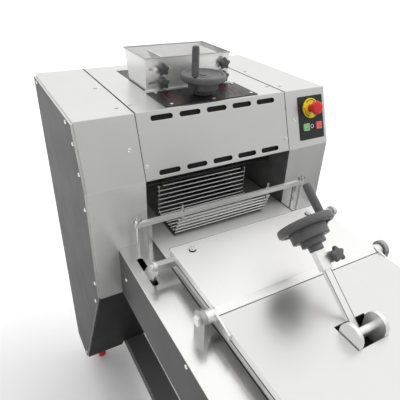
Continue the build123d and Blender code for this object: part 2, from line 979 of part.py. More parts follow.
with BuildPart() as table_end:
    with BuildSketch(Plane.XZ.offset(-front_y)):
        with Locations((0, deck_z - apron_height)):
            Rectangle(table_width, apron_height - belt_outer, align=(Align.CENTER, Align.MIN))
        with Locations((-half_table, deck_z)):
            Rectangle(half_table + belt_left - belt_gap, belt_outer, align=(Align.MIN, Align.MAX))
        with Locations((half_table, deck_z)):
            Rectangle(half_table - belt_right - belt_gap, belt_outer, align=(Align.MAX, Align.MAX))
    extrude(amount=-sheet)
save(table_end.part, "table_end")

# Belt bed: the plate that carries the upper run of the belt, between the inner lips
bed_top = deck_z - belt_thickness - fit_gap
bed_back = drum_y - drum_radius - bed_clearance
bed_front = idler_y + drum_radius + bed_clearance
bed_step = nose_y - 2 * sheet
with BuildPart() as belt_bed:
    with BuildSketch(Plane.XY.offset(bed_top)):
        with Locations((belt_offset, bed_front)):
            Rectangle(belt_width, bed_back - bed_front, align=(Align.CENTER, Align.MIN))
            Rectangle(belt_width + 2 * belt_gap, bed_step - bed_front,
                      align=(Align.CENTER, Align.MIN))
    extrude(amount=-bed_thickness)
save(belt_bed.part, "belt_bed")

# Conveyor belt: an endless band round the two drums
with BuildPart() as conveyor_belt:
    with BuildSketch(Plane.YZ.offset(belt_left)):
        with Locations(((drum_y + idler_y) / 2, drum_z)):
            SlotCenterToCenter(drum_y - idler_y, 2 * belt_outer)
            SlotCenterToCenter(drum_y - idler_y, 2 * belt_inner, mode=Mode.SUBTRACT)
    extrude(amount=belt_width)
save(conveyor_belt.part, "conveyor_belt")

# Linked-rod mat: cross rods joined at both ends by small links, hung in a trough over the belt
mat_path = (
    (nose_y + mat_back, deck_z + mat_back_rise),
    (nose_y + mat_back, deck_z + mat_lift),
    (nose_y - mat_bend_front, deck_z + mat_lift),
    (nose_y - mat_front_top, deck_z + mat_front_rise),
)
rods = [mat_path[0]]
for start, end, steps in zip(mat_path, mat_path[1:], (back_steps, bed_steps, front_steps)):
    for step in range(1, steps + 1):
        share = step / steps
        rods.append((start[0] + (end[0] - start[0]) * share, start[1] + (end[1] - start[1]) * share))

with BuildPart() as chain_mat:
    with BuildSketch(Plane.YZ.offset(-mat_width / 2)):
        with Locations(*rods):
            Circle(rod_radius)
    extrude(amount=mat_width)
    for place in (-mat_width / 2 + link_thickness, mat_width / 2 - 2 * link_thickness):
        with BuildSketch(Plane.YZ.offset(place)):
            for first, second in zip(rods, rods[1:]):
                run = second[0] - first[0]
                rise = second[1] - first[1]
                with Locations(((first[0] + second[0]) / 2, (first[1] + second[1]) / 2)):
                    SlotCenterToCenter(hypot(run, rise), link_height, rotation=degrees(atan2(rise, run)))
        extrude(amount=link_thickness)
save(chain_mat.part, "chain_mat")

# Mat bar: flat cross bar on two uprights, drilled for the hooks and the end pins
mat_bar_top = mat_bar_z + mat_bar_height / 2
with BuildPart() as mat_bar:
    with BuildSketch(Plane.XY.offset(mat_bar_top)):
        with Locations((0, mat_bar_y)):
            Rectangle(mat_bar_length, mat_bar_depth)
        with Locations((-hook_spread / 2, mat_bar_y), (hook_spread / 2, mat_bar_y)):
            Circle(hook_radius + run_gap, mode=Mode.SUBTRACT)
        with Locations((-pin_spread / 2, mat_bar_y), (pin_spread / 2, mat_bar_y)):
            Circle(pin_radius + run_gap, mode=Mode.SUBTRACT)
    extrude(amount=-mat_bar_height)
save(mat_bar.part, "mat_bar")

# Mat fittings: uprights, end pins with wings, hooks at the front and hangers at the back
with BuildPart() as mat_uprights:
    with BuildSketch(Plane.XY.offset(deck_z)):
        for side in (-1, 1):
            with Locations((belt_offset + side * upright_spread / 2, mat_bar_y)):
                Rectangle(upright_width, upright_depth)
    extrude(amount=mat_bar_rise - mat_bar_height / 2)

with BuildPart() as mat_pins:
    with BuildSketch(Plane.XY.offset(deck_z)):
        with Locations((-pin_spread / 2, mat_bar_y), (pin_spread / 2, mat_bar_y)):
            Circle(pin_radius)
    extrude(amount=mat_bar_top - deck_z + pin_top)
    with BuildSketch(Plane.XY.offset(mat_bar_top)):
        with Locations((-pin_spread / 2, mat_bar_y), (pin_spread / 2, mat_bar_y)):
            Circle(pin_radius * 1.8)
            Rectangle(wing_span, pin_radius)
    extrude(amount=pin_top * 0.7)

front_rod = rods[-1]
back_rod = rods[0]
with BuildPart() as mat_hooks:
    for side in (-1, 1):
        with BuildSketch(Plane.YZ.offset(side * hook_spread / 2 - eye_width / 2)):
            with Locations(front_rod):
                Circle(rod_radius + fit_gap + eye_wall)
                Circle(rod_radius + fit_gap, mode=Mode.SUBTRACT)
        extrude(amount=eye_width)
        hook_foot = front_rod[1] + rod_radius + fit_gap + eye_wall / 2
        with BuildSketch(Plane.XY.offset(hook_foot)):
            with Locations((side * hook_spread / 2, mat_bar_y)):
                Circle(hook_radius)
        extrude(amount=mat_bar_top + hook_top - hook_foot)
        with BuildSketch(Plane.XY.offset(mat_bar_top)):
            with Locations((side * hook_spread / 2, mat_bar_y)):
                RegularPolygon(hook_radius * 2, 6)
        extrude(amount=hook_radius * 2)

with BuildPart() as mat_hangers:
    for side in (-1, 1):
        with BuildSketch(Plane.YZ.offset(side * hook_spread / 2 - eye_width / 2)):
            with Locations((back_rod[0], back_rod[1] + rear_bar_lift / 2)):
                SlotCenterToCenter(rear_bar_lift, 2 * (rear_bar_radius + eye_wall), rotation=90)
            with Locations(back_rod):
                Circle(rod_radius + fit_gap, mode=Mode.SUBTRACT)
            with Locations((back_rod[0], back_rod[1] + rear_bar_lift)):
                Circle(rear_bar_radius + run_gap, mode=Mode.SUBTRACT)
        extrude(amount=eye_width)
with BuildPart() as rear_mat_bar:
    with BuildSketch(Plane.YZ.offset(-wall_x)):
        with Locations((back_rod[0], back_rod[1] + rear_bar_lift)):
            Circle(rear_bar_radius)
    extrude(amount=2 * wall_x)
group("mat_fittings", mat_uprights.part, mat_pins.part, mat_hooks.part, mat_hangers.part,
      rear_mat_bar.part)

# Rear board plate: bent sheet with a slanted front lip, hung on the bar and the shaft
rear_plate_back = nose_y - rear_back
lip_y = shaft_y - board_shaft_radius - shaft_clearance
crease_y = lip_y + lip_run
rear_flange_z = rear_top - flange_height
lip_slope = front_step / lip_run
lip_skin = plate_sheet * hypot(1, lip_slope)
inner_lip_z = front_top + plate_sheet * lip_slope - lip_skin
inner_crease_y = crease_y + (lip_skin - plate_sheet) / lip_slope
with BuildPart() as rear_board_plate:
    with BuildSketch(Plane.YZ.offset(-board_width / 2)):
        with BuildLine():
            Polyline(
                (rear_plate_back, rear_top),
                (crease_y, rear_top),
                (lip_y, front_top),
                (lip_y, rear_flange_z),
                (lip_y + plate_sheet, rear_flange_z),
                (lip_y + plate_sheet, inner_lip_z),
                (inner_crease_y, rear_top - plate_sheet),
                (rear_plate_back, rear_top - plate_sheet),
                close=True,
            )
        make_face()
    extrude(amount=board_width)
    for start in (-board_width / 2, board_width / 2 - plate_sheet):
        with BuildSketch(Plane.YZ.offset(start)):
            with BuildLine():
                Polyline(
                    (rear_plate_back, rear_top),
                    (crease_y, rear_top),
                    (lip_y, front_top),
                    (lip_y, rear_flange_z),
                    (rear_plate_back, rear_flange_z),
                    close=True,
                )
            make_face()
        extrude(amount=plate_sheet)
    with BuildSketch(Plane.YZ.offset(-board_width / 2)):
        with Locations((shaft_y, shaft_z)):
            Circle(board_shaft_radius + run_gap)
        with Locations((board_bar_y, board_bar_z)):
            Rectangle(bar_size + 2 * run_gap, bar_size + 2 * run_gap)
    extrude(amount=board_width, mode=Mode.SUBTRACT)
save(rear_board_plate.part, "rear_board_plate")

slab_front_y = shaft_y + board_shaft_radius + 2 * plate_sheet
slab_back_y = nose_y - rear_slab_back
with BuildPart() as rear_board_slab:
    with BuildSketch(Plane.XY.offset(rear_flange_z)):
        with Locations((0, (slab_front_y + slab_back_y) / 2)):
            Rectangle(board_width, slab_back_y - slab_front_y)
    extrude(amount=-slab_thickness)
save(rear_board_slab.part, "rear_board_slab")

# Board bar: square bar with round end collars, and the lugs that carry it up from the deck slots
half_bar = bar_length / 2
with BuildPart() as board_bar:
    with BuildSketch(Plane.YZ.offset(-half_bar)):
        with Locations((board_bar_y, board_bar_z)):
            Rectangle(bar_size, bar_size)
    extrude(amount=bar_length)
    for start in (-half_bar - collar_length, half_bar):
        with BuildSketch(Plane.YZ.offset(start)):
            with Locations((board_bar_y, board_bar_z)):
                Circle(bar_collar)
        extrude(amount=collar_length)

lug_centre_y = nose_y - lug_back - lug_length / 2
with BuildPart() as board_lugs:
    for side in (-1, 1):
        with BuildSketch(Plane.YZ.offset(side * lug_x - lug_thickness / 2)):
            with Locations((board_bar_y, board_bar_z)):
                Circle(lug_eye)
            with Locations((lug_centre_y, deck_z)):
                Rectangle(lug_length, lug_depth, align=(Align.CENTER, Align.MAX))
            make_hull()
            with Locations((board_bar_y, board_bar_z)):
                Rectangle(bar_size + 2 * run_gap, bar_size + 2 * run_gap, mode=Mode.SUBTRACT)
        extrude(amount=lug_thickness)
        with BuildSketch(Plane.XY.offset(deck_z - sheet)):
            with Locations((side * lug_x, lug_centre_y)):
                Rectangle(lug_foot_width, lug_length)
        extrude(amount=-lug_foot)
group("board_bar", board_bar.part, board_lugs.part)

# Board shaft with nuts, in two posts that stand on the deck
shaft_end = post_x + post_thickness / 2
with BuildPart() as board_shaft:
    with BuildSketch(Plane.YZ.offset(-shaft_end)):
        with Locations((shaft_y, shaft_z)):
            Circle(board_shaft_radius)
    extrude(amount=2 * shaft_end)
    for start in (-shaft_end - nut_length, shaft_end):
        with BuildSketch(Plane.YZ.offset(start)):
            with Locations((shaft_y, shaft_z)):
                RegularPolygon(nut_radius, 6)
        extrude(amount=nut_length)
save(board_shaft.part, "board_shaft")

with BuildPart() as shaft_posts:
    for side in (-1, 1):
        with BuildSketch(Plane.YZ.offset(side * post_x - post_thickness / 2)):
            with Locations((shaft_y, shaft_z)):
                Circle(post_length / 2)
            with Locations((shaft_y, deck_z)):
                Rectangle(post_length, post_length / 2, align=(Align.CENTER, Align.MIN))
            make_hull()
            with Locations((shaft_y, shaft_z)):
                Circle(board_shaft_radius + run_gap, mode=Mode.SUBTRACT)
        extrude(amount=post_thickness)

half_front = front_board_width / 2
front_flange_z = front_top - flange_height
front_bottom = front_flange_z - slab_thickness
stop_y = board_front + stop_setback
with BuildPart() as board_stops:
    for side in (-1, 1):
        rest_z = front_bottom - fit_gap
        inside = side * (half_front - stop_overlap)
        outside = side * (shaft_end)
        with BuildSketch(Plane.XZ.offset(-stop_y)):
            with BuildLine():
                Polyline(
                    (outside, deck_z),
                    (outside, rest_z),
                    (inside, rest_z),
                    (inside, rest_z - stop_finger),
                    (outside - side * stop_thickness, rest_z - stop_finger),
                    (outside - side * stop_thickness, deck_z),
                    close=True,
                )
            make_face()
        extrude(amount=stop_length)
group("board_posts", shaft_posts.part, board_stops.part)

# Front pressure board: an inverted sheet tray over a white slab, cut out for the arm
board_back = lip_y - front_gap
arm_sin = sin(radians(arm_angle))
arm_cos = cos(radians(arm_angle))
half_arm = arm_depth / 2
rest_run = (front_top - pivot_z + half_arm * arm_cos) / tan(radians(arm_angle))
cutout_back_y = pivot_y + half_arm * arm_sin + rest_run + fit_gap / arm_sin
cutout_front_y = nose_y - cutout_front
cutout_middle = (cutout_back_y + cutout_front_y) / 2
cutout_length = cutout_back_y - cutout_front_y
board_middle = (board_back + board_front) / 2
board_length = board_back - board_front
with BuildPart() as board_plate:
    with BuildSketch(Plane.XY.offset(front_flange_z)):
        with Locations((0, board_middle)):
            Rectangle(front_board_width, board_length)
    extrude(amount=flange_height)
    with BuildSketch(Plane.XY.offset(front_flange_z)):
        with Locations((0, board_middle)):
            Rectangle(front_board_width - 2 * plate_sheet, board_length - 2 * plate_sheet)
    extrude(amount=flange_height - plate_sheet, mode=Mode.SUBTRACT)
    with BuildSketch(Plane.XY.offset(front_top)):
        with Locations((0, cutout_middle)):
            Rectangle(cutout_width, cutout_length)
    extrude(amount=-2 * plate_sheet, mode=Mode.SUBTRACT)
save(board_plate.part, "board_plate")

with BuildPart() as board_slab:
    with BuildSketch(Plane.XY.offset(front_flange_z)):
        with Locations((0, board_middle)):
            Rectangle(front_board_width, board_length)
        with Locations((0, cutout_middle)):
            Rectangle(cutout_width, cutout_length, mode=Mode.SUBTRACT)
    extrude(amount=-slab_thickness)
save(board_slab.part, "board_slab")

# Board fittings: hinge hubs on the shaft, and the pan with the ears of the arm
with BuildPart() as board_hinges:
    for side in (-1, 1):
        with BuildSketch(Plane.YZ.offset(side * hinge_hub_x)):
            with Locations((shaft_y, shaft_z)):
                Circle(hinge_hub_radius)
        extrude(amount=side * hinge_hub_length)
        with BuildSketch(Plane.YZ.offset(side * half_front)):
            with Locations((shaft_y, shaft_z)):
                Circle(hinge_hub_radius)
            with Locations((shaft_y - hinge_arm_length, front_flange_z)):
                Rectangle(hinge_arm_height, hinge_arm_height, align=(Align.MIN, Align.MIN))
            make_hull()
        extrude(amount=side * hinge_arm)
    with BuildSketch(Plane.YZ.offset(-shaft_end)):
        with Locations((shaft_y, shaft_z)):
            Circle(board_shaft_radius + run_gap)
    extrude(amount=2 * shaft_end, mode=Mode.SUBTRACT)

ear_y = nose_y - ear_reach
ear_z = deck_z + ear_rise
with BuildPart() as board_ears:
    with BuildSketch(Plane.XY.offset(front_bottom)):
        with Locations((0, cutout_middle)):
            Rectangle(cutout_width + 2 * pan_margin, cutout_length + 2 * pan_margin)
    extrude(amount=-pan_thickness)
    for start in (-ear_x - ear_thickness, ear_x):
        with BuildSketch(Plane.YZ.offset(start)):
            with Locations((ear_y, ear_z)):
                Circle(ear_radius - fit_gap)
            with Locations((ear_y, front_bottom)):
                Rectangle(2 * ear_radius - 2 * fit_gap, 1, align=(Align.CENTER, Align.MIN))
            make_hull()
        extrude(amount=ear_thickness)
    with BuildSketch(Plane.YZ.offset(-ear_x)):
        with Locations((pivot_y, pivot_z)):
            Circle(pivot_radius)
        with Locations((ear_y, ear_z)):
            Circle(spacer_radius)
    extrude(amount=2 * ear_x)
group("board_fittings", board_hinges.part, board_ears.part)

# Adjusting arm: a flat bar on the ear pin, a sleeve that slides on it, and a handwheel on top
boss_half = ear_x - 2 * fit_gap
with BuildPart() as arm_bar:
    with BuildSketch(Plane.YZ.offset(-boss_half)):
        with Locations((pivot_y, pivot_z)):
            Circle(boss_radius)
    extrude(amount=2 * boss_half)
    with BuildSketch(arm_base):
        Rectangle(arm_width, arm_depth)
    extrude(amount=arm_length)
    with BuildSketch(Plane.YZ.offset(-boss_half)):
        with Locations((pivot_y, pivot_z)):
            Circle(pivot_radius + run_gap)
    extrude(amount=2 * boss_half, mode=Mode.SUBTRACT)
save(arm_bar.part, "arm_bar")

lug_middle = knob_lug_from + knob_lug_length / 2
arm_knob_seat = Plane(
    origin=arm_base.from_local_coords((arm_knob_x, -knob_lug_depth / 2, lug_middle)),
    x_dir=(1, 0, 0),
    z_dir=(0, -arm_sin, arm_cos),
)
with BuildPart() as arm_sleeve:
    with BuildSketch(arm_base.offset(sleeve_start)):
        Rectangle(sleeve_width, sleeve_depth)
    extrude(amount=sleeve_end - sleeve_start)
    with BuildSketch(arm_base.offset(knob_lug_from)):
        with Locations((sleeve_width / 2, 0)):
            Rectangle(knob_lug_width, knob_lug_depth, align=(Align.MIN, Align.CENTER))
    extrude(amount=knob_lug_length)
    with BuildSketch(arm_base.offset(sleeve_start)):
        Rectangle(arm_width + 2 * sleeve_clearance, arm_depth + 2 * sleeve_clearance)
    extrude(amount=sleeve_end - sleeve_plug - sleeve_start, mode=Mode.SUBTRACT)
    with BuildSketch(arm_base.offset(sleeve_end)):
        Circle(stub_radius + run_gap)
    extrude(amount=-sleeve_plug, mode=Mode.SUBTRACT)
    with BuildSketch(arm_knob_seat):
        Circle(stud_radius + run_gap)
    extrude(amount=-knob_lug_depth, mode=Mode.SUBTRACT)
save(arm_sleeve.part, "arm_sleeve")

save(star_knob(arm_knob_seat, knob_lug_depth), "arm_knob")

neck_seat = arm_base.offset(sleeve_end + fit_gap)
arm_seat = neck_seat.offset(neck_rise)
with BuildPart() as pressure_wheel:
    add(handwheel(arm_seat, arm_grip_angle))
    with BuildSketch(neck_seat):
        Circle(neck_radius)
    extrude(amount=neck_rise)
    with BuildSketch(neck_seat):
        Circle(stub_radius)
    extrude(amount=-stub_length)
save(pressure_wheel.part, "pressure_wheel")
save(wheel_grip(arm_seat, arm_grip_angle), "pressure_grip")


# Base frame: two lipped channels, cross tubes, two legs and the beam under the table
def tube_piece(start, end):
    with BuildPart() as piece:
        with BuildSketch(Plane.XY.offset(start[2])):
            with Locations(((start[0] + end[0]) / 2, (start[1] + end[1]) / 2)):
                Rectangle(end[0] - start[0], end[1] - start[1])
        extrude(amount=end[2] - start[2])
    return piece.part


half_tube = tube / 2
rail_front_y = front_y + rail_setback
with BuildPart() as base_rails:
    with BuildSketch(Plane.XZ.offset(-rail_front_y)):
        for side in (-1, 1):
            with Locations((side * rail_x, caster_height)):
                Rectangle(channel_width, channel_height, align=(Align.CENTER, Align.MIN))
            with Locations((side * rail_x, caster_height + channel_wall)):
                Rectangle(channel_width - 2 * channel_wall, channel_height - 2 * channel_wall,
                          align=(Align.CENTER, Align.MIN), mode=Mode.SUBTRACT)
            with Locations((side * rail_x, caster_height)):
                Rectangle(channel_width - 2 * channel_lip, channel_height - channel_wall,
                          align=(Align.CENTER, Align.MIN), mode=Mode.SUBTRACT)
    extrude(amount=-(back_y - rail_rear - rail_front_y))

cross_top = rail_top + tube
leg_y = front_y + leg_setback
beam_z = deck_z - apron_height + sheet
cross_tubes = []
for cross_y in (back_y - rear_cross, back_y - mid_cross):
    cross_tubes.append(
        tube_piece((-wall_x, cross_y - half_tube, rail_top), (wall_x, cross_y + half_tube, cross_top))
    )
front_end = rail_x + channel_width / 2
front_cross = tube_piece(
    (-front_end, leg_y - half_tube, rail_top), (front_end, leg_y + half_tube, cross_top)
)
beam_half = half_table - sheet
table_beam = tube_piece(
    (-beam_half, leg_y - half_tube, beam_z), (beam_half, leg_y + half_tube, beam_z + tube)
)
legs = []
for leg_x in (-rail_x, rail_x):
    legs.append(
        tube_piece((leg_x - half_tube, leg_y - half_tube, cross_top),
                   (leg_x + half_tube, leg_y + half_tube, beam_z))
    )
group("base_frame", base_rails.part, *cross_tubes, front_cross, table_beam, *legs)


# Castors: sheet forks on axles; the rear pair is rigid and the front pair swivels
def castor_fork(fork_x, fork_y, head_top, head_thickness, wheel_y):
    cheek = castor_width / 2 + castor_side_gap
    with BuildPart() as fork:
        for side in (-1, 1):
            with BuildSketch(Plane.YZ.offset(fork_x + side * cheek)):
                with Locations((wheel_y, castor_radius)):
                    Circle(fork_foot)
                with Locations((fork_y, head_top)):
                    Rectangle(2 * swivel_radius, head_thickness, align=(Align.CENTER, Align.MAX))
                make_hull()
            extrude(amount=side * fork_sheet)
        with BuildSketch(Plane.YZ.offset(fork_x - cheek)):
            with Locations((wheel_y, castor_radius)):
                Circle(castor_bore)
        extrude(amount=2 * cheek)
        with BuildSketch(Plane.XY.offset(head_top)):
            with Locations((fork_x, fork_y)):
                Rectangle(2 * cheek + 2 * fork_sheet, 2 * swivel_radius)
        extrude(amount=-head_thickness)
    return fork.part


def castor_wheel(wheel_x, wheel_y):
    with BuildPart() as wheel:
        with BuildSketch(Plane.YZ.offset(wheel_x - castor_width / 2)):
            with Locations((wheel_y, castor_radius)):
                Circle(castor_radius)
        extrude(amount=castor_width)
        fillet(edges().filter_by(GeomType.CIRCLE), castor_bore * 0.8)
        with BuildSketch(Plane.YZ.offset(wheel_x - castor_width / 2)):
            with Locations((wheel_y, castor_radius)):
                Circle(castor_bore + run_gap)
        extrude(amount=castor_width, mode=Mode.SUBTRACT)
    return wheel.part


rear_castor_y = back_y - rear_castor_inset
front_castor_y = front_y + front_castor_setback
front_wheel_y = front_castor_y + castor_trail
head_top = caster_height - fork_sheet
rear_forks = []
front_plates = []
for side in (-1, 1):
    rear_forks.append(
        castor_fork(side * rear_castor_x, rear_castor_y, caster_height, fork_sheet, rear_castor_y)
    )
    with BuildPart() as swivel_plate:
        with BuildSketch(Plane.XY.offset(caster_height)):
            with Locations((side * rail_x, front_castor_y)):
                Rectangle(fork_plate_width, fork_plate_length)
        extrude(amount=-fork_sheet)
        with BuildSketch(Plane.XY.offset(head_top)):
            with Locations((side * rail_x, front_castor_y)):
                Circle(swivel_pin)
        extrude(amount=-swivel_gap - fork_sheet)
    front_plates.append(swivel_plate.part)
group("castor_mounts", *rear_forks, *front_plates)

for name, side in (("left", -1), ("right", 1)):
    with BuildPart() as swivel_fork:
        add(castor_fork(side * rail_x, front_castor_y, head_top - swivel_gap, fork_sheet + 1,
                        front_wheel_y))
        with BuildSketch(Plane.XY.offset(head_top - swivel_gap)):
            with Locations((side * rail_x, front_castor_y)):
                Circle(swivel_pin + run_gap)
        extrude(amount=-2 * fork_sheet, mode=Mode.SUBTRACT)
    save(swivel_fork.part, f"{name}_front_fork")
    save(castor_wheel(side * rail_x, front_wheel_y), f"{name}_front_wheel")
    save(castor_wheel(side * rear_castor_x, rear_castor_y), f"{name}_rear_wheel")
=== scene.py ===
from math import atan2, cos, pi, radians, sin

import bpy
from mathutils import Matrix, Vector


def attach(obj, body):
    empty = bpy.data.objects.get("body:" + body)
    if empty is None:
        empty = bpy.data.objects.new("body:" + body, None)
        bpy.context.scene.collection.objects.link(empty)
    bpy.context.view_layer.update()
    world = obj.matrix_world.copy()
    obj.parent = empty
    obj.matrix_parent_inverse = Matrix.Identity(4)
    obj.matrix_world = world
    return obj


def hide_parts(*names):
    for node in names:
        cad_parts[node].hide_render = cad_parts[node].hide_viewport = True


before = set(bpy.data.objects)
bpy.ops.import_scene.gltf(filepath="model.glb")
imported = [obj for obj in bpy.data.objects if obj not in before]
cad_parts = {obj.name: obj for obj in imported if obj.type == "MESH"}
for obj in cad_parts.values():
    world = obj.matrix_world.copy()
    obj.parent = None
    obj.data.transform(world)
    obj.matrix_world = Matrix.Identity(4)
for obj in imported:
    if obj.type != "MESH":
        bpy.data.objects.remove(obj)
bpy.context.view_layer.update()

# The studio floor is one pale painted surface, wide enough to fill the view behind the machine.
# It is a flat disc with its edge far out, and it takes the machine's soft shadow.
# It is seen pale, directly and in reflections, but throws little light back up under the machine.
bpy.context.scene.view_settings.view_transform = "Standard"
floor_radius = 60
floor_drop = 0.0004
lit_grey = (0.22, 0.22, 0.22, 1)
seen_grey = (0.98, 0.98, 0.98, 1)
bpy.ops.object.select_all(action="DESELECT")
bpy.ops.mesh.primitive_circle_add(
    vertices=96, radius=floor_radius, fill_type="NGON", location=(0, 0, -floor_drop)
)
studio_floor = bpy.context.object
studio_floor.name = "studio_floor"
floor_paint = bpy.data.materials.new("floor_paint")
floor_paint.use_nodes = True
floor_nodes = floor_paint.node_tree.nodes
floor_links = floor_paint.node_tree.links
floor_shader = floor_nodes["Principled BSDF"]
floor_ray = floor_nodes.new("ShaderNodeLightPath")
floor_seen = floor_nodes.new("ShaderNodeMath")
floor_seen.operation = "MAXIMUM"
floor_links.new(floor_ray.outputs["Is Camera Ray"], floor_seen.inputs[0])
floor_links.new(floor_ray.outputs["Is Glossy Ray"], floor_seen.inputs[1])
floor_colour = floor_nodes.new("ShaderNodeMix")
floor_colour.data_type = "RGBA"
floor_colour.inputs["A"].default_value = lit_grey
floor_colour.inputs["B"].default_value = seen_grey
floor_links.new(floor_seen.outputs["Value"], floor_colour.inputs["Factor"])
floor_links.new(floor_colour.outputs["Result"], floor_shader.inputs["Base Color"])
floor_shader.inputs["Roughness"].default_value = 0.95
floor_shader.inputs["Specular IOR Level"].default_value = 0.05
studio_floor.data.materials.append(floor_paint)

# The studio light is a broad bright sky overhead and behind, falling off to a dim front and left.
# One soft lamp high on the right adds the key and the shadow on the floor.
brightest_way = (0.25, 0.35, 0.90)
sky = bpy.data.worlds.new("studio_sky")
sky.use_nodes = True
bpy.context.scene.world = sky
sky_nodes = sky.node_tree.nodes
sky_links = sky.node_tree.links
sky_direction = sky_nodes.new("ShaderNodeTexCoord")
sky_aim = sky_nodes.new("ShaderNodeVectorMath")
sky_aim.operation = "DOT_PRODUCT"
sky_aim.inputs[1].default_value = brightest_way
sky_fall = sky_nodes.new("ShaderNodeMapRange")
sky_fall.inputs["From Min"].default_value = -0.45
sky_fall.inputs["From Max"].default_value = 0.70
sky_fall.inputs["To Min"].default_value = 0.20
sky_fall.inputs["To Max"].default_value = 1.10
sky_links.new(sky_direction.outputs["Generated"], sky_aim.inputs[0])
sky_links.new(sky_aim.outputs["Value"], sky_fall.inputs["Value"])
sky_links.new(sky_fall.outputs["Result"], sky_nodes["Background"].inputs["Strength"])
sky_nodes["Background"].inputs["Color"].default_value = (1, 1, 1, 1)

key_way = Vector((0.55, -0.30, 0.78))
bpy.ops.object.light_add(type="SUN", location=(3, -2, 4))
key_lamp = bpy.context.object
key_lamp.name = "key_lamp"
key_lamp.data.energy = 1.25
key_lamp.data.angle = radians(40)
key_lamp.visible_glossy = False
key_lamp.rotation_euler = key_way.to_track_quat("Z", "Y").to_euler()


# A dark card stands on the floor off to the right, where only reflections see it.
# The front of the right tower mirrors it, and so keeps its edge against the pale floor.
def cut_sheet(name, width, length):
    """Lay a flat sheet about the origin, and leave it in edit mode with all of it selected."""
    bpy.ops.object.select_all(action="DESELECT")
    bpy.ops.mesh.primitive_plane_add(size=1, location=(0, 0, 0))
    sheet = bpy.context.object
    sheet.name = name
    sheet.data.name = name
    bpy.ops.object.mode_set(mode="EDIT")
    bpy.ops.transform.resize(value=(width, length, 1))
    return sheet


card_width = 1.5
card_height = 0.75
dark_card = cut_sheet("dark_card", card_width, card_height)
bpy.ops.mesh.bevel(offset=0.05, segments=3, affect="VERTICES")
bpy.ops.object.mode_set(mode="OBJECT")
dark_card.matrix_world = (
    Matrix.Translation((1.35, -0.80, card_height / 2))
    @ Matrix.Rotation(radians(45), 4, "Z")
    @ Matrix.Rotation(radians(90), 4, "X")
)
card_paper = bpy.data.materials.new("card_paper")
card_paper.use_nodes = True
card_shader = card_paper.node_tree.nodes["Principled BSDF"]
card_shader.inputs["Base Color"].default_value = (0.12, 0.11, 0.11, 1)
card_shader.inputs["Roughness"].default_value = 0.9
dark_card.data.materials.append(card_paper)
dark_card.visible_camera = False
dark_card.visible_diffuse = False
dark_card.visible_shadow = False

# The camera stands at the front left corner, above the belt, and looks down across the table.
# Its axes are the ones that put the housing corners on the photograph's corners.
photo_width_px = 400
photo_focal_px = 413.59
camera_place = (-0.575675, -0.616291, 1.644487)
camera_data = bpy.data.cameras.new("photo_camera")
camera_data.sensor_width = 36
camera_data.lens = camera_data.sensor_width * photo_focal_px / photo_width_px
camera_data.clip_start = 0.01
camera_data.clip_end = 200
photo_camera = bpy.data.objects.new("photo_camera", camera_data)
bpy.context.scene.collection.objects.link(photo_camera)
camera_right = Vector((0.87701888, -0.47943793, 0.03125941))
camera_up = Vector((0.2251063, 0.46751489, 0.85484325))
camera_back = Vector((-0.42445852, -0.74267698, 0.51794388))
camera_turn = Matrix((camera_right, camera_up, camera_back)).transposed().to_4x4()
photo_camera.matrix_world = Matrix.Translation(camera_place) @ camera_turn
bpy.context.scene.camera = photo_camera


# The base is welded from stainless channel and square tube, with a dull ground surface, and its steel is
# painted dark as the shade under the table.
# The ground grain runs along the rails, and handling leaves soft marks on it.
def finish_group(name, setting, kind, value, output):
    """An empty group for an effect of the finishes: a place and one setting in, one value out."""
    group = bpy.data.node_groups.new(name, "ShaderNodeTree")
    group.interface.new_socket("Place", in_out="INPUT", socket_type="NodeSocketVector")
    group.interface.new_socket(setting, in_out="INPUT", socket_type=kind).default_value = value
    group.interface.new_socket(output, in_out="OUTPUT", socket_type="NodeSocketFloat")
    return group, group.nodes.new("NodeGroupInput"), group.nodes.new("NodeGroupOutput")


def finish_effect(finish, group, setting, value):
    """Place an effect in a finish, on the piece's own coordinates, and give its output."""
    nodes = finish.node_tree.nodes
    place = nodes.new("ShaderNodeTexCoord")
    effect = nodes.new("ShaderNodeGroup")
    effect.node_tree = group
    effect.inputs[setting].default_value = value
    finish.node_tree.links.new(place.outputs["Object"], effect.inputs["Place"])
    return effect.outputs[0]


def finish_relief(finish, texture, depth, edge):
    """Give a finish its eased edges and the fine relief of its texture."""
    nodes = finish.node_tree.nodes
    links = finish.node_tree.links
    eased = nodes.new("ShaderNodeBevel")
    eased.samples = 6
    eased.inputs["Radius"].default_value = edge
    relief = nodes.new("ShaderNodeBump")
    relief.inputs["Strength"].default_value = depth
    relief.inputs["Distance"].default_value = 0.0002
    links.new(texture, relief.inputs["Height"])
    links.new(eased.outputs["Normal"], relief.inputs["Normal"])
    links.new(relief.outputs["Normal"], nodes["Principled BSDF"].inputs["Normal"])


ground_grain, grain_in, grain_out = finish_group(
    "ground_grain", "Stretch", "NodeSocketVector", (1, 1, 1), "Tone"
)
grain_scale = ground_grain.nodes.new("ShaderNodeMapping")
grain_noise = ground_grain.nodes.new("ShaderNodeTexNoise")
grain_noise.inputs["Scale"].default_value = 1
grain_noise.inputs["Detail"].default_value = 5
grain_noise.inputs["Roughness"].default_value = 0.7
grain_range = ground_grain.nodes.new("ShaderNodeMapRange")
grain_range.inputs["From Min"].default_value = 0.28
grain_range.inputs["From Max"].default_value = 0.72
ground_grain.links.new(grain_in.outputs["Place"], grain_scale.inputs["Vector"])
ground_grain.links.new(grain_in.outputs["Stretch"], grain_scale.inputs["Scale"])
ground_grain.links.new(grain_scale.outputs["Vector"], grain_noise.inputs["Vector"])
ground_grain.links.new(grain_noise.outputs["Fac"], grain_range.inputs["Value"])
ground_grain.links.new(grain_range.outputs["Result"], grain_out.inputs["Tone"])

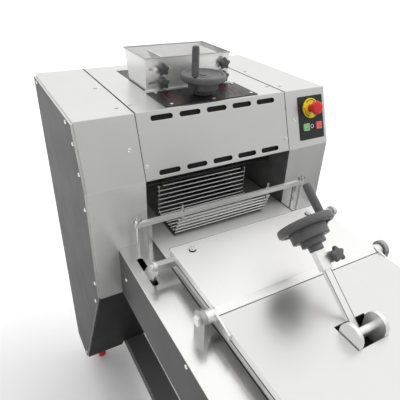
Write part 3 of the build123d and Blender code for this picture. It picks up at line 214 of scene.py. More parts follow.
hand_marks, marks_in, marks_out = finish_group("hand_marks", "Size", "NodeSocketFloat", 0.1, "Haze")
marks_scale = hand_marks.nodes.new("ShaderNodeMath")
marks_scale.operation = "DIVIDE"
marks_scale.inputs[0].default_value = 1
marks_noise = hand_marks.nodes.new("ShaderNodeTexNoise")
marks_noise.inputs["Detail"].default_value = 4
marks_noise.inputs["Roughness"].default_value = 0.55
marks_range = hand_marks.nodes.new("ShaderNodeMapRange")
marks_range.interpolation_type = "SMOOTHSTEP"
marks_range.inputs["From Min"].default_value = 0.35
marks_range.inputs["From Max"].default_value = 0.7
hand_marks.links.new(marks_in.outputs["Size"], marks_scale.inputs[1])
hand_marks.links.new(marks_in.outputs["Place"], marks_noise.inputs["Vector"])
hand_marks.links.new(marks_scale.outputs["Value"], marks_noise.inputs["Scale"])
hand_marks.links.new(marks_noise.outputs["Fac"], marks_range.inputs["Value"])
hand_marks.links.new(marks_range.outputs["Result"], marks_out.inputs["Haze"])


def steel_finish(name, shade, tint, roughness, stretch, edge, metal=1.0, marks=0.12, depth=0.05, sheen=0.3):
    """Satin or bright stainless: grain in the colour, roughness and bump, soft marks and eased edges."""
    steel = bpy.data.materials.new(name)
    steel.use_nodes = True
    nodes = steel.node_tree.nodes
    links = steel.node_tree.links
    shader = nodes["Principled BSDF"]
    shader.inputs["Metallic"].default_value = metal
    shader.inputs["Specular IOR Level"].default_value = sheen
    grain = finish_effect(steel, ground_grain, "Stretch", stretch)
    haze = finish_effect(steel, hand_marks, "Size", marks)
    colour = nodes.new("ShaderNodeMix")
    colour.data_type = "RGBA"
    colour.inputs["A"].default_value = tuple(0.98 * shade * part for part in tint) + (1,)
    colour.inputs["B"].default_value = tuple(1.02 * shade * part for part in tint) + (1,)
    links.new(grain, colour.inputs["Factor"])
    links.new(colour.outputs["Result"], shader.inputs["Base Color"])
    blur = nodes.new("ShaderNodeMath")
    blur.operation = "MULTIPLY_ADD"
    blur.inputs[1].default_value = 0.05
    blur.inputs[2].default_value = roughness - 0.025
    cloud = nodes.new("ShaderNodeMath")
    cloud.operation = "MULTIPLY_ADD"
    cloud.inputs[1].default_value = 0.05
    links.new(grain, blur.inputs[0])
    links.new(haze, cloud.inputs[0])
    links.new(blur.outputs["Value"], cloud.inputs[2])
    links.new(cloud.outputs["Value"], shader.inputs["Roughness"])
    finish_relief(steel, grain, depth, edge)
    return steel


def dress(finish, *nodes):
    """Give CAD nodes their finish."""
    for node in nodes:
        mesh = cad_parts[node].data
        mesh.materials.clear()
        mesh.materials.append(finish)


shaded_base_steel = steel_finish(
    "shaded_base_steel", 0.13, (1, 0.985, 0.98), 0.42, (900, 9, 900), 0.0016, metal=0.2, sheen=0.2
)
dress(shaded_base_steel, "base_frame")

# The castors have pressed, zinc-plated forks, and red polyurethane tyres on dark moulded hubs.
# The tyres are cast with rounded shoulders, and each hub turns on a bolt through its fork.
# The rear pair is fixed under the towers, and the front pair swivels under the base rails.
zinc_plate = steel_finish("zinc_plate", 0.52, (0.98, 1, 1.03), 0.38, (90, 90, 90), 0.001, marks=0.03)
dress(zinc_plate, "castor_mounts", "left_front_fork", "right_front_fork")

moulded_skin, skin_in, skin_out = finish_group(
    "moulded_skin", "Fineness", "NodeSocketFloat", 900, "Texture"
)
skin_noise = moulded_skin.nodes.new("ShaderNodeTexNoise")
skin_noise.inputs["Detail"].default_value = 2
moulded_skin.links.new(skin_in.outputs["Place"], skin_noise.inputs["Vector"])
moulded_skin.links.new(skin_in.outputs["Fineness"], skin_noise.inputs["Scale"])
moulded_skin.links.new(skin_noise.outputs["Fac"], skin_out.inputs["Texture"])


def moulded_finish(name, colour, roughness, fineness, edge, worn=1.25, depth=0.1, marks=0.05):
    """Moulded plastic or rubber: a fine skin texture, soft rubbed patches and rounded edges."""
    moulding = bpy.data.materials.new(name)
    moulding.use_nodes = True
    nodes = moulding.node_tree.nodes
    links = moulding.node_tree.links
    shader = nodes["Principled BSDF"]
    skin = finish_effect(moulding, moulded_skin, "Fineness", fineness)
    haze = finish_effect(moulding, hand_marks, "Size", marks)
    tone = nodes.new("ShaderNodeMix")
    tone.data_type = "RGBA"
    tone.inputs["A"].default_value = tuple(colour) + (1,)
    tone.inputs["B"].default_value = tuple(min(1.0, worn * part) for part in colour) + (1,)
    links.new(haze, tone.inputs["Factor"])
    links.new(tone.outputs["Result"], shader.inputs["Base Color"])
    blur = nodes.new("ShaderNodeMath")
    blur.operation = "MULTIPLY_ADD"
    blur.inputs[1].default_value = -0.10
    blur.inputs[2].default_value = roughness
    links.new(haze, blur.inputs[0])
    links.new(blur.outputs["Value"], shader.inputs["Roughness"])
    finish_relief(moulding, skin, depth, edge)
    return moulding


def turned(name, rings, steps=56, bored=False):
    """Turn a piece on a lathe: a circle is drawn up from ring to ring, each a (radius, height)."""
    radius, height = rings[0]
    bpy.ops.object.select_all(action="DESELECT")
    bpy.ops.mesh.primitive_circle_add(
        vertices=steps, radius=radius, fill_type="NOTHING" if bored else "NGON", location=(0, 0, 0)
    )
    piece = bpy.context.object
    piece.name = name
    piece.data.name = name
    bpy.ops.object.mode_set(mode="EDIT")
    bpy.ops.mesh.select_mode(type="VERT")
    bpy.ops.mesh.select_all(action="SELECT")
    bpy.ops.transform.translate(value=(0, 0, height))
    for next_radius, next_height in rings[1:] + (rings[:1] if bored else []):
        bpy.ops.mesh.extrude_region_move(TRANSFORM_OT_translate={"value": (0, 0, next_height - height)})
        grow = next_radius / radius
        bpy.ops.transform.resize(value=(grow, grow, 1), center_override=(0, 0, next_height))
        radius, height = next_radius, next_height
    bpy.ops.mesh.select_all(action="SELECT")
    bpy.ops.mesh.remove_doubles(threshold=0.000001)
    bpy.ops.mesh.normals_make_consistent(inside=False)
    bpy.ops.object.mode_set(mode="OBJECT")
    bpy.ops.object.shade_smooth_by_angle(angle=radians(38))
    return piece


def take_up(*pieces):
    """Select these pieces alone, with the first one active."""
    bpy.ops.object.select_all(action="DESELECT")
    for piece in pieces:
        piece.select_set(True)
    bpy.context.view_layer.objects.active = pieces[0]


def another(piece, name):
    """Copy a modelled piece, with a mesh of its own."""
    take_up(piece)
    bpy.ops.object.duplicate(linked=False)
    copy = bpy.context.object
    copy.name = name
    copy.data.name = name
    return copy


def settle(piece, origin, up=(0, 0, 1), side=(1, 0, 0)):
    """Set a piece that was modelled at the origin down in its place, with its height along up."""
    rise = Vector(up).normalized()
    across = Vector(side).normalized()
    turn = Matrix((across, rise.cross(across), rise)).transposed().to_4x4()
    piece.matrix_world = Matrix.Translation(origin) @ turn @ piece.matrix_world
    take_up(piece)
    bpy.ops.object.transform_apply(location=True, rotation=True, scale=True)
    return piece


def fit(piece, body, slot, finish, *stands_for):
    """Give a modelled piece its finish and its place on a body."""
    piece.data.materials.clear()
    piece.data.materials.append(finish)
    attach(piece, body)
    if stands_for:
        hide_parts(*stands_for)


red_tyre = moulded_finish("red_tyre", (0.60, 0.022, 0.034), 0.45, 700, 0.002)
hub_moulding = moulded_finish("hub_moulding", (0.05, 0.05, 0.052), 0.5, 700, 0.001)
axle_height = 0.0375
tyre_half = [
    (0.0240, 0.0125), (0.0255, 0.0150), (0.0320, 0.0152),
    (0.0352, 0.0135), (0.0370, 0.0100), (0.0375, 0.0050),
]
tyre_rings = [(radius, -height) for radius, height in tyre_half] + tyre_half[::-1]
tyre_pattern = turned("tyre_pattern", tyre_rings, bored=True)
hub_half = [
    (0.0051, 0.0160), (0.0100, 0.0160), (0.0112, 0.0145),
    (0.0130, 0.0115), (0.0215, 0.0105), (0.0239, 0.0120),
]
hub_rings = [(radius, -height) for radius, height in hub_half] + hub_half[::-1]
hub_pattern = turned("hub_pattern", hub_rings, bored=True)
for corner, wheel_x, wheel_y in (
    ("left_rear", -0.318, 0.720),
    ("right_rear", 0.318, 0.720),
    ("left_front", -0.181, -0.631),
    ("right_front", 0.181, -0.631),
):
    axle = (wheel_x, wheel_y, axle_height)
    tyre = settle(another(tyre_pattern, corner + "_tyre"), axle, (1, 0, 0), (0, 1, 0))
    fit(tyre, corner + "_wheel", "castor_red", red_tyre, corner + "_wheel")
    hub = settle(another(hub_pattern, corner + "_hub"), axle, (1, 0, 0), (0, 1, 0))
    fit(hub, corner + "_wheel", "knob_black", hub_moulding)
for pattern in (tyre_pattern, hub_pattern):
    bpy.data.objects.remove(pattern)

# The frame plates that wall the throat are thick steel, painted grey, and the roller carriage is black.
# Bearings, chain and gearmotor are hidden behind the towers, and the motor is a grey painted casting.
inner_paint = moulded_finish("inner_paint", (0.040, 0.040, 0.042), 0.5, 250, 0.001)
dress(inner_paint, "roller_carriage")
wall_paint = moulded_finish("wall_paint", (0.20, 0.20, 0.20), 0.5, 250, 0.001)
dress(wall_paint, "frame_plates")
motor_paint = moulded_finish("motor_paint", (0.22, 0.24, 0.27), 0.45, 300, 0.003)
dress(motor_paint, "gearmotor")
dress(zinc_plate, "shaft_bearings", "drive_chain")

# The sheeting rollers are turned from white food-grade plastic on steel shafts.
# The rear one turns in fixed bearings, and the front one sits in the sliding carriage.
white_turning = moulded_finish("white_turning", (0.74, 0.74, 0.71), 0.42, 500, 0.001)
dress(white_turning, "fixed_roller", "moving_roller")


# The two towers and the cover between them are folded from satin stainless sheet.
# The grain lies level across the front and the top, and each fold is eased over its edge.
# Below the leaning front the towers are painted darker towards the bottom, near black on the slope under
# the table, and their throat walls are painted dark: all of it painted shade.
def paint_shade_zone(finish, axis, start, full, shade, metal=None, blur=0.0, within=None):
    """Paint shade into a finish from start to full along an axis, both ways on X, within limits on a
    second.
    """
    nodes = finish.node_tree.nodes
    links = finish.node_tree.links
    shader = nodes["Principled BSDF"]
    place = nodes.new("ShaderNodeTexCoord")
    split = nodes.new("ShaderNodeSeparateXYZ")
    links.new(place.outputs["Object"], split.inputs["Vector"])
    reach = split.outputs[axis]
    if axis == "X":
        distance = nodes.new("ShaderNodeMath")
        distance.operation = "ABSOLUTE"
        links.new(reach, distance.inputs[0])
        reach = distance.outputs["Value"]
    zone = nodes.new("ShaderNodeMapRange")
    zone.inputs["From Min"].default_value = start
    zone.inputs["From Max"].default_value = full
    links.new(reach, zone.inputs["Value"])
    mask = zone.outputs["Result"]
    if within:
        second_axis, low, high = within
        limits = nodes.new("ShaderNodeMath")
        limits.operation = "COMPARE"
        limits.inputs[1].default_value = (low + high) / 2
        limits.inputs[2].default_value = (high - low) / 2
        links.new(split.outputs[second_axis], limits.inputs[0])
        both = nodes.new("ShaderNodeMath")
        both.operation = "MULTIPLY"
        links.new(mask, both.inputs[0])
        links.new(limits.outputs["Value"], both.inputs[1])
        mask = both.outputs["Value"]
    darker = nodes.new("ShaderNodeMix")
    darker.data_type = "RGBA"
    darker.blend_type = "MULTIPLY"
    darker.inputs["B"].default_value = (shade, shade, shade, 1)
    links.new(mask, darker.inputs["Factor"])
    links.new(shader.inputs["Base Color"].links[0].from_socket, darker.inputs["A"])
    links.new(darker.outputs["Result"], shader.inputs["Base Color"])
    if metal is not None:
        change = nodes.new("ShaderNodeMix")
        change.inputs["A"].default_value = shader.inputs["Metallic"].default_value
        change.inputs["B"].default_value = metal
        links.new(mask, change.inputs["Factor"])
        if shader.inputs["Metallic"].is_linked:
            links.new(shader.inputs["Metallic"].links[0].from_socket, change.inputs["A"])
        links.new(change.outputs["Result"], shader.inputs["Metallic"])
    if blur:
        rougher = nodes.new("ShaderNodeMath")
        rougher.operation = "MULTIPLY_ADD"
        rougher.inputs[1].default_value = blur
        links.new(mask, rougher.inputs[0])
        links.new(shader.inputs["Roughness"].links[0].from_socket, rougher.inputs[2])
        links.new(rougher.outputs["Value"], shader.inputs["Roughness"])


stainless = (1, 0.998, 0.99)
level_grain = (6, 900, 900)
tower_front = ("Y", 0.0, 0.7)
housing_steel = steel_finish("housing_steel", 0.75, stainless, 0.30, level_grain, 0.0022, depth=0.01)
dress(housing_steel, "centre_cover", "rear_panel")
shaded_tower_steel = steel_finish(
    "shaded_tower_steel", 0.75, stainless, 0.30, level_grain, 0.0022, depth=0.01, sheen=0.08
)
paint_shade_zone(shaded_tower_steel, "Z", start=1.1282, full=1.1262, shade=0.93, metal=0.42, within=tower_front)
paint_shade_zone(shaded_tower_steel, "Z", start=1.02, full=0.84, shade=0.72, within=tower_front)
paint_shade_zone(
    shaded_tower_steel, "Z", start=0.7832, full=0.7812, shade=0.03, metal=0.0, blur=0.20, within=tower_front
)
paint_shade_zone(shaded_tower_steel, "X", start=0.2362, full=0.2356, shade=0.30, metal=0.1, blur=0.10)
dress(shaded_tower_steel, "left_housing", "right_housing")
# The lower front panel under the table is painted near black, as painted shade.
shaded_slope_steel = steel_finish(
    "shaded_slope_steel", 0.028, (1, 0.995, 0.98), 0.45, level_grain, 0.0022, metal=0.0, sheen=0.05
)
dress(shaded_slope_steel, "lower_front_panel")

# The button-head screws have a hexagon socket and hold the covers to the frame inside.
# They stand along the edges of the side covers, on the leaning front, on the table sides and on top.
screw_steel = steel_finish("screw_steel", 0.80, (1, 1, 1), 0.24, (400, 400, 400), 0.0004, marks=0.02)
screw_pattern = turned(
    "screw_pattern",
    [(0.0055, 0), (0.0055, 0.0008), (0.0051, 0.0017), (0.0042, 0.0025), (0.0030, 0.0029)],
    steps=24,
)
socket_cut = turned("socket_cut", [(0.0019, 0.0012), (0.0019, 0.0040)], steps=6)
socket = screw_pattern.modifiers.new("hexagon_socket", "BOOLEAN")
socket.operation = "DIFFERENCE"
socket.object = socket_cut
take_up(screw_pattern)
bpy.ops.object.modifier_apply(modifier=socket.name)
bpy.data.objects.remove(socket_cut)


def screw(name, origin, up):
    """One button-head screw, set down on the face that up stands on."""
    side = (1, 0, 0) if abs(up[0]) < 0.5 else (0, 1, 0)
    return settle(another(screw_pattern, name), origin, up, side)


def merge(name, pieces):
    """Join pieces that are moulded, printed or fixed as one."""
    take_up(*pieces)
    bpy.ops.object.join()
    pieces[0].name = name
    pieces[0].data.name = name
    return pieces[0]


top_z = 1.292
top_fold_y = 0.323
lean_out = (0, -0.93914, 0.34359)
lean_down = (-0.34359, -0.93914)


def on_lean(x, down, out=0.0):
    """A point on the leaning front of the towers, by its distance down from the top fold."""
    return (
        x,
        top_fold_y + lean_down[0] * down + lean_out[1] * out,
        top_z + lean_down[1] * down + lean_out[2] * out,
    )


side_outline = (
    (0.797, 0.100), (0.797, top_z), (top_fold_y, top_z), (0.263, 1.128), (0.263, 0.783), (0.643, 0.100)
)
cover_face_x = 0.3935
apron_face_x = 0.322
long_edge = 1
corner_gap = 0.050
edge_gap = 0.015
cover_heads = []
top_heads = []
for side, hand in (("left", -1), ("right", 1)):
    for corner in range(5):
        edge = Vector(side_outline[corner + 1]) - Vector(side_outline[corner])
        way = edge.normalized()
        count = 3 if edge.length > long_edge else 2
        for step in range(count):
            reach = corner_gap + step * (edge.length - 2 * corner_gap) / (count - 1)
            spot = Vector(side_outline[corner]) + reach * way + edge_gap * Vector((-way.y, way.x))
            cover_heads.append(
                screw(f"{side}_edge_{corner}_{step}", (hand * cover_face_x, spot.x, spot.y), (hand, 0, 0))
            )
    for name, lean_x, down in (("outer", 0.264, 0.08732), ("inner", 0.225, 0.137)):
        cover_heads.append(screw(f"{side}_lean_{name}", on_lean(hand * lean_x, down), lean_out))
    for name, apron_y, apron_z in (
        ("seam", 0.215, 0.869), ("middle", -0.142, 0.926), ("front", -0.600, 0.926)
    ):
        cover_heads.append(
            screw(f"{side}_apron_{name}", (hand * apron_face_x, apron_y, apron_z), (hand, 0, 0))
        )
    for name, head_x, head_y in (("back", 0.261, 0.570), ("front", 0.262, 0.379), ("inner", 0.222, 0.390)):
        top_heads.append(screw(f"{side}_top_{name}", (hand * head_x, head_y, top_z), (0, 0, 1)))
fit(merge("cover_screw_heads", cover_heads), "frame", "zinc", screw_steel, "cover_screws")
fit(merge("top_screw_heads", top_heads), "frame", "zinc", screw_steel)
bpy.data.objects.remove(screw_pattern)

# A black strip lies in the seam on each side of the centre cover and laps its edges; it is painted shade
# for the gap.
# It runs along the top and down the leaning front.
shade_black = moulded_finish("shade_black", (0.004, 0.004, 0.004), 0.8, 700, 0.0002)
strip_width = 0.0040
strip_length = 0.4712
strip_middle_y = 0.5594
strip_top_z = 1.2923
strip_down_lean = (0, -0.0601, -0.1642)
seam_x = 0.23425
for side, hand in (("left", -1), ("right", 1)):
    seam_strip = cut_sheet(side + "_seam_strip", strip_width, strip_length)
    bpy.ops.mesh.select_mode(type="VERT")
    bpy.ops.transform.translate(value=(hand * seam_x, strip_middle_y, strip_top_z))
    bpy.ops.mesh.select_all(action="DESELECT")
    bpy.ops.object.mode_set(mode="OBJECT")
    for vertex in seam_strip.data.vertices:
        vertex.select = vertex.co.y < strip_middle_y
    bpy.ops.object.mode_set(mode="EDIT")
    bpy.ops.mesh.extrude_region_move(TRANSFORM_OT_translate={"value": strip_down_lean})
    bpy.ops.mesh.select_all(action="SELECT")
    bpy.ops.mesh.normals_make_consistent(inside=False)
    bpy.ops.object.mode_set(mode="OBJECT")
    strip_wall = seam_strip.modifiers.new("thickness", "SOLIDIFY")
    strip_wall.thickness = 0.0002
    strip_wall.offset = -1
    bpy.ops.object.modifier_apply(modifier=strip_wall.name)
    settle(seam_strip, (0, 0, 0))
    fit(seam_strip, "frame", "knob_black", shade_black)

# The slots in the leaning cover let warm air out of the drive.
# A black folded sheet stands just behind them as painted shade, so that only dark shows through the slots.
vent_shade_black = moulded_finish("vent_shade_black", (0.006, 0.006, 0.006), 0.8, 500, 0.0005)
vent_liner = cut_sheet("vent_liner", width=0.452, length=0.168)
bpy.ops.mesh.inset(thickness=0.004, depth=0)
bpy.ops.transform.translate(value=(0, 0, -0.003))
bpy.ops.object.mode_set(mode="OBJECT")
liner_wall = vent_liner.modifiers.new("sheet", "SOLIDIFY")
liner_wall.thickness = 0.001
bpy.ops.object.modifier_apply(modifier=liner_wall.name)
settle(vent_liner, on_lean(0, down=0.088, out=-0.0042), lean_out)
fit(vent_liner, "frame", "black_plate", vent_shade_black)

# The side covers are shallow trays of the same sheet, screwed over the open ends of the towers.
# Their grain stands upright. The flat faces are painted dark as shade, darker towards the bottom, and the
# folded rims keep the bright steel.
shaded_cover_steel = steel_finish(
    "shaded_cover_steel", 0.75, (1, 0.985, 0.98), 0.34, (900, 900, 6), 0.001, depth=0.015, sheen=0.1
)
paint_shade_zone(shaded_cover_steel, "X", start=0.39325, full=0.39345, shade=0.175, metal=0.08, blur=0.12)
paint_shade_zone(shaded_cover_steel, "Z", start=1.26, full=0.80, shade=0.55)
dress(shaded_cover_steel, "side_covers")

# The hopper is a folded chute of thin satin sheet with two bent guides, and its rolled rim is painted
# darker as shade.
# It stands on the top cover in front of the well.
hopper_steel = steel_finish(
    "hopper_steel", 0.84, (1, 0.998, 0.985), 0.30, (6, 1300, 1300), 0.0008, metal=0.65
)
paint_shade_zone(hopper_steel, "Z", start=1.3795, full=1.3805, shade=0.50)
dress(hopper_steel, "hopper", "left_guide", "right_guide")


# The star knobs are moulded in dark grey plastic round threaded studs, with five soft lobes.
# Two clamp each hopper guide through its slots, and one clamps the adjusting arm.
def star_knob(name):
    """A star knob on its stud: lobes drawn up from a notched disc, a boss below and a cap on top."""
    lobe_radius = 0.0190
    notch = 0.68
    shoulder = 0.84
    crown = 0.60
    bpy.ops.object.select_all(action="DESELECT")
    bpy.ops.mesh.primitive_circle_add(
        vertices=20, radius=lobe_radius, fill_type="NGON", location=(0, 0, 0)
    )
    star = bpy.context.object
    bpy.ops.object.mode_set(mode="EDIT")
    bpy.ops.mesh.select_mode(type="VERT")
    bpy.ops.mesh.select_all(action="SELECT")
    bpy.ops.transform.rotate(value=radians(9), orient_axis="Z", center_override=(0, 0, 0))
    bpy.ops.mesh.select_all(action="DESELECT")
    bpy.ops.object.mode_set(mode="OBJECT")
    for vertex in star.data.vertices:
        turn = (atan2(vertex.co.y, vertex.co.x) - pi / 2) % (2 * pi / 5)
        vertex.select = radians(18) < turn < radians(54)
    bpy.ops.object.mode_set(mode="EDIT")
    bpy.ops.transform.resize(value=(notch, notch, 1), center_override=(0, 0, 0))
    bpy.ops.mesh.select_all(action="SELECT")
    bpy.ops.mesh.select_mode(type="FACE")
    bpy.ops.transform.resize(value=(shoulder, shoulder, 1), center_override=(0, 0, 0))
    bpy.ops.transform.translate(value=(0, 0, 0.0060))
    for grow, rise in ((1 / shoulder, 0.0020), (1.0, 0.0075), (shoulder, 0.0022), (crown, 0.0004)):
        bpy.ops.mesh.extrude_region_move(TRANSFORM_OT_translate={"value": (0, 0, rise)})
        bpy.ops.transform.resize(value=(grow, grow, 1), center_override=(0, 0, 0))
    bpy.ops.mesh.select_all(action="SELECT")
    bpy.ops.mesh.normals_make_consistent(inside=False)
    bpy.ops.object.mode_set(mode="OBJECT")
    soft = star.modifiers.new("soft_lobes", "SUBSURF")
    soft.levels = 2
    soft.render_levels = 2
    bpy.ops.object.modifier_apply(modifier=soft.name)
    bpy.ops.object.shade_smooth()
    boss = turned(name + "_boss", [(0.0088, 0.0003), (0.0090, 0.0010), (0.0090, 0.0075)], steps=32)
    cap = turned(name + "_cap", [(0.0062, 0.0170), (0.0062, 0.0181), (0.0056, 0.0184)], steps=32)
    stud = turned(name + "_stud", [(0.0040, -0.0052), (0.0040, 0.0020)], steps=24)
    return merge(name, [star, boss, cap, stud])


knob_plastic = moulded_finish("knob_plastic", (0.085, 0.085, 0.088), 0.42, 1100, 0.001)
knob_pattern = star_knob("knob_pattern")
hopper_front_y = 0.485
for level, knob_z in (("upper", 1.3515), ("lower", 1.3125)):
    for side, knob_x in (("left", -0.0865), ("right", 0.1155)):
        knob = f"{level}_{side}_knob"
        spot = (knob_x, hopper_front_y, knob_z)
        star = settle(another(knob_pattern, f"{level}_{side}_star"), spot, (0, -1, 0))
        fit(star, knob, "knob_black", knob_plastic, knob)

# The index plate is a black printed sheet under the gap handwheel, held by six pan-head screws.
# Rows of figures on both sides of the wheel and an arc of strokes before its hub are printed in red.
black_print = moulded_finish("black_print", (0.010, 0.010, 0.011), 0.42, 900, 0.0006, depth=0.03)
dress(black_print, "index_plate", "control_plate")
scale_red = moulded_finish("scale_red", (0.17, 0.014, 0.018), 0.5, 900, 0.0001)
index_top_z = 1.294
pan_head = turned(
    "pan_head",
    [(0.0052, 0), (0.0054, 0.0006), (0.0052, 0.0016), (0.0044, 0.0022), (0.0010, 0.0023)],
    steps=24,
)
for count, (pan_x, pan_y) in enumerate(
    ((-0.121, 0.347), (0.005, 0.345), (0.132, 0.347), (-0.121, 0.451), (0.005, 0.453), (0.132, 0.451))
):
    index_screw = settle(another(pan_head, f"index_screw_{count}"), (pan_x, pan_y, index_top_z))
    fit(index_screw, "frame", "zinc", screw_steel)
bpy.data.objects.remove(pan_head)


def figure(name, text, size, origin, up=(0, 0, 1), side=(1, 0, 0), raised=0.00012):
    """A printed figure, as a thin raised mesh."""
    bpy.ops.object.select_all(action="DESELECT")
    bpy.ops.object.text_add(location=(0, 0, 0))
    print_mark = bpy.context.object
    print_mark.name = name
    print_mark.data.body = text
    print_mark.data.size = size
    print_mark.data.extrude = raised
    print_mark.data.align_x = "CENTER"
    print_mark.data.align_y = "CENTER"
    bpy.ops.object.convert(target="MESH")
    print_mark = bpy.context.object
    print_mark.data.name = name
    return settle(print_mark, origin, up, side)


print_height = 0.0002


def tick(name, length, width, origin, side, up=(0, 0, 1)):
    """A printed stroke: a flat bar drawn in to rounded ends."""
    stroke = cut_sheet(name, length, width)
    bpy.ops.mesh.bevel(offset=width * 0.4, segments=2, affect="VERTICES")
    bpy.ops.mesh.extrude_region_move(TRANSFORM_OT_translate={"value": (0, 0, print_height)})
    bpy.ops.mesh.select_all(action="SELECT")
    bpy.ops.mesh.normals_make_consistent(inside=False)
    bpy.ops.object.mode_set(mode="OBJECT")
    return settle(stroke, origin, up, side)


spindle_y = 0.398
figure_z = 1.29412
figure_size = 0.015
row_radii = (0.078, 0.096, 0.114)
row_flatness = 0.86
figures_in_row = 7
stroke_z = 1.29405
stroke_circle = 0.0505
stroke_length = 0.0052
scale_marks = []
for half, start in (("left", 150), ("right", -30)):
    for count in range(figures_in_row):
        angle = radians(start + 10 * count)
        for row, radius in enumerate(row_radii):
            digit = str((figures_in_row * row + count) % 10)
            spot = (radius * cos(angle), spindle_y + row_flatness * radius * sin(angle), figure_z)
            scale_marks.append(figure(f"{half}_figure_{row}_{count}", digit, figure_size, spot))
for count in range(18):
    angle = radians(250 + 5 * count)
    spot = (stroke_circle * cos(angle), spindle_y + stroke_circle * sin(angle), stroke_z)
    scale_marks.append(tick(f"arc_{count}", stroke_length, 0.0032, spot, (-sin(angle), cos(angle), 0)))
fit(merge("index_scale", scale_marks), "frame", "stop_red", scale_red)

# The handwheels are moulded in dark grey plastic, with a stepped hub, a dished web and a round rim.
# A turned grip spins on a pin near the rim, and a nut under the web holds the pin.
wheel_plastic = moulded_finish("wheel_plastic", (0.100, 0.100, 0.103), 0.46, 1100, 0.001)
grip_plastic = moulded_finish("grip_plastic", (0.085, 0.085, 0.088), 0.40, 1100, 0.001)
wheel_rings = [
    (0.0265, 0.0000), (0.0280, 0.0015), (0.0280, 0.0140), (0.0410, 0.0140), (0.0430, 0.0160),
    (0.0430, 0.0395), (0.0442, 0.0408), (0.0535, 0.0410), (0.0550, 0.0385), (0.0580, 0.0372),
    (0.0615, 0.0378), (0.0640, 0.0400), (0.0650, 0.0430), (0.0650, 0.0500), (0.0640, 0.0532),
    (0.0617, 0.0553), (0.0592, 0.0560), (0.0567, 0.0553), (0.0548, 0.0536), (0.0538, 0.0520),
    (0.0440, 0.0520), (0.0430, 0.0510), (0.0225, 0.0505), (0.0210, 0.0520), (0.0110, 0.0520),
    (0.0106, 0.0538), (0.0095, 0.0545), (0.0010, 0.0546),
]
grip_rings = [
    (0.0040, -0.0155), (0.0040, 0.0000), (0.0080, 0.0000), (0.0093, 0.0012), (0.0098, 0.0060),
    (0.0100, 0.0300), (0.0100, 0.0640), (0.0097, 0.0740), (0.0088, 0.0780), (0.0066, 0.0797),
    (0.0015, 0.0800),
]


def pin_nut(name, radius, thickness):
    """A hexagon nut with chamfered corners and the pin's end."""
    face = radius * 0.93
    nut_rings = [
        (face, 0), (radius, thickness * 0.12), (radius, thickness * 0.88), (face, thickness),
        (radius * 0.5, thickness),
    ]
    nut = turned(name, nut_rings, steps=6)
    take_up(nut)
    chamfer = nut.modifiers.new("chamfer", "BEVEL")
    chamfer.width = radius * 0.05
    chamfer.segments = 2
    bpy.ops.object.modifier_apply(modifier=chamfer.name)
    end = radius * 0.46
    end_rings = [(end, thickness * 0.5), (end, thickness * 1.35), (radius * 0.38, thickness * 1.45)]
    return merge(name, [nut, turned(name + "_end", end_rings, steps=20)])


grip_circle = 0.049
nut_radius = 0.0068
nut_thickness = 0.007
gap_wheel_z = 1.2946
gap_grip_z = 1.3516
gap_nut_z = 1.3358
set_screw_z = 1.320
gap_wheel = settle(turned("gap_handwheel", wheel_rings), (0, spindle_y, gap_wheel_z))
fit(gap_wheel, "gap_wheel", "wheel_black", wheel_plastic, "gap_wheel")
gap_angle = radians(214)
gap_pin = (grip_circle * cos(gap_angle), spindle_y + grip_circle * sin(gap_angle))
gap_grip = settle(turned("gap_handle", grip_rings, steps=40), (*gap_pin, gap_grip_z))
fit(gap_grip, "gap_grip", "wheel_black", grip_plastic, "gap_grip")
gap_nut = settle(pin_nut("gap_pin_nut", nut_radius, nut_thickness), (*gap_pin, gap_nut_z), (0, 0, -1))
fit(gap_nut, "gap_wheel", "wheel_black", grip_plastic)
hub_radius = 0.0425
screw_angle = radians(209)
set_screw = settle(
    pin_nut("gap_set_screw", radius=0.0062, thickness=0.006),
    (hub_radius * cos(screw_angle), spindle_y + hub_radius * sin(screw_angle), set_screw_z),
    (cos(screw_angle), sin(screw_angle), 0),
    (-sin(screw_angle), cos(screw_angle), 0),
)
fit(set_screw, "gap_wheel", "wheel_black", grip_plastic)

# The control plate carries the emergency stop and two square buttons on the right tower.
# The stop is a red moulded mushroom in a yellow collar, whose arrows show how it is turned free.
plate_front = 0.003
stop_x = 0.3257
stop_down = 0.0594
collar_yellow = moulded_finish("collar_yellow", (0.84, 0.66, 0.02), 0.4, 900, 0.001)
collar_rings = [
    (0.0115, 0.0000), (0.0295, 0.0000), (0.0300, 0.0006), (0.0300, 0.0040), (0.0292, 0.0049),
    (0.0240, 0.0050), (0.0205, 0.0047), (0.0175, 0.0036), (0.0115, 0.0036),
]
collar = turned("stop_collar", collar_rings, steps=64, bored=True)
settle(collar, on_lean(stop_x, stop_down, plate_front), lean_out)
fit(collar, "frame", "estop_yellow", collar_yellow, "estop_collar")
mushroom_red = moulded_finish("mushroom_red", (0.66, 0.020, 0.024), 0.30, 900, 0.001)
mushroom_rings = [
    (0.0109, -0.0360), (0.0109, -0.0010), (0.0135, 0.0000), (0.0182, 0.0010), (0.0196, 0.0030),
    (0.0200, 0.0060), (0.0199, 0.0100), (0.0190, 0.0126), (0.0165, 0.0141), (0.0120, 0.0148),
    (0.0060, 0.0150), (0.0010, 0.0150),
]
mushroom = turned("stop_mushroom", mushroom_rings, steps=64)
settle(mushroom, on_lean(stop_x, stop_down, out=0.026), lean_out)
fit(mushroom, "estop_button", "estop_red", mushroom_red, "estop_button")
mark_black = moulded_finish("mark_black", (0.03, 0.026, 0.01), 0.6, 900, 0.0001)
collar_front = plate_front + 0.0050
arrow_circle = 0.0252


def on_collar(turn):
    """A spot on the collar's circle of arrows, and the way round the circle there."""
    angle = radians(turn)
    across = stop_x + arrow_circle * cos(angle)
    spot = on_lean(across, stop_down - arrow_circle * sin(angle), collar_front)
    return spot, Vector((-sin(angle), cos(angle) * -lean_down[0], cos(angle) * -lean_down[1]))


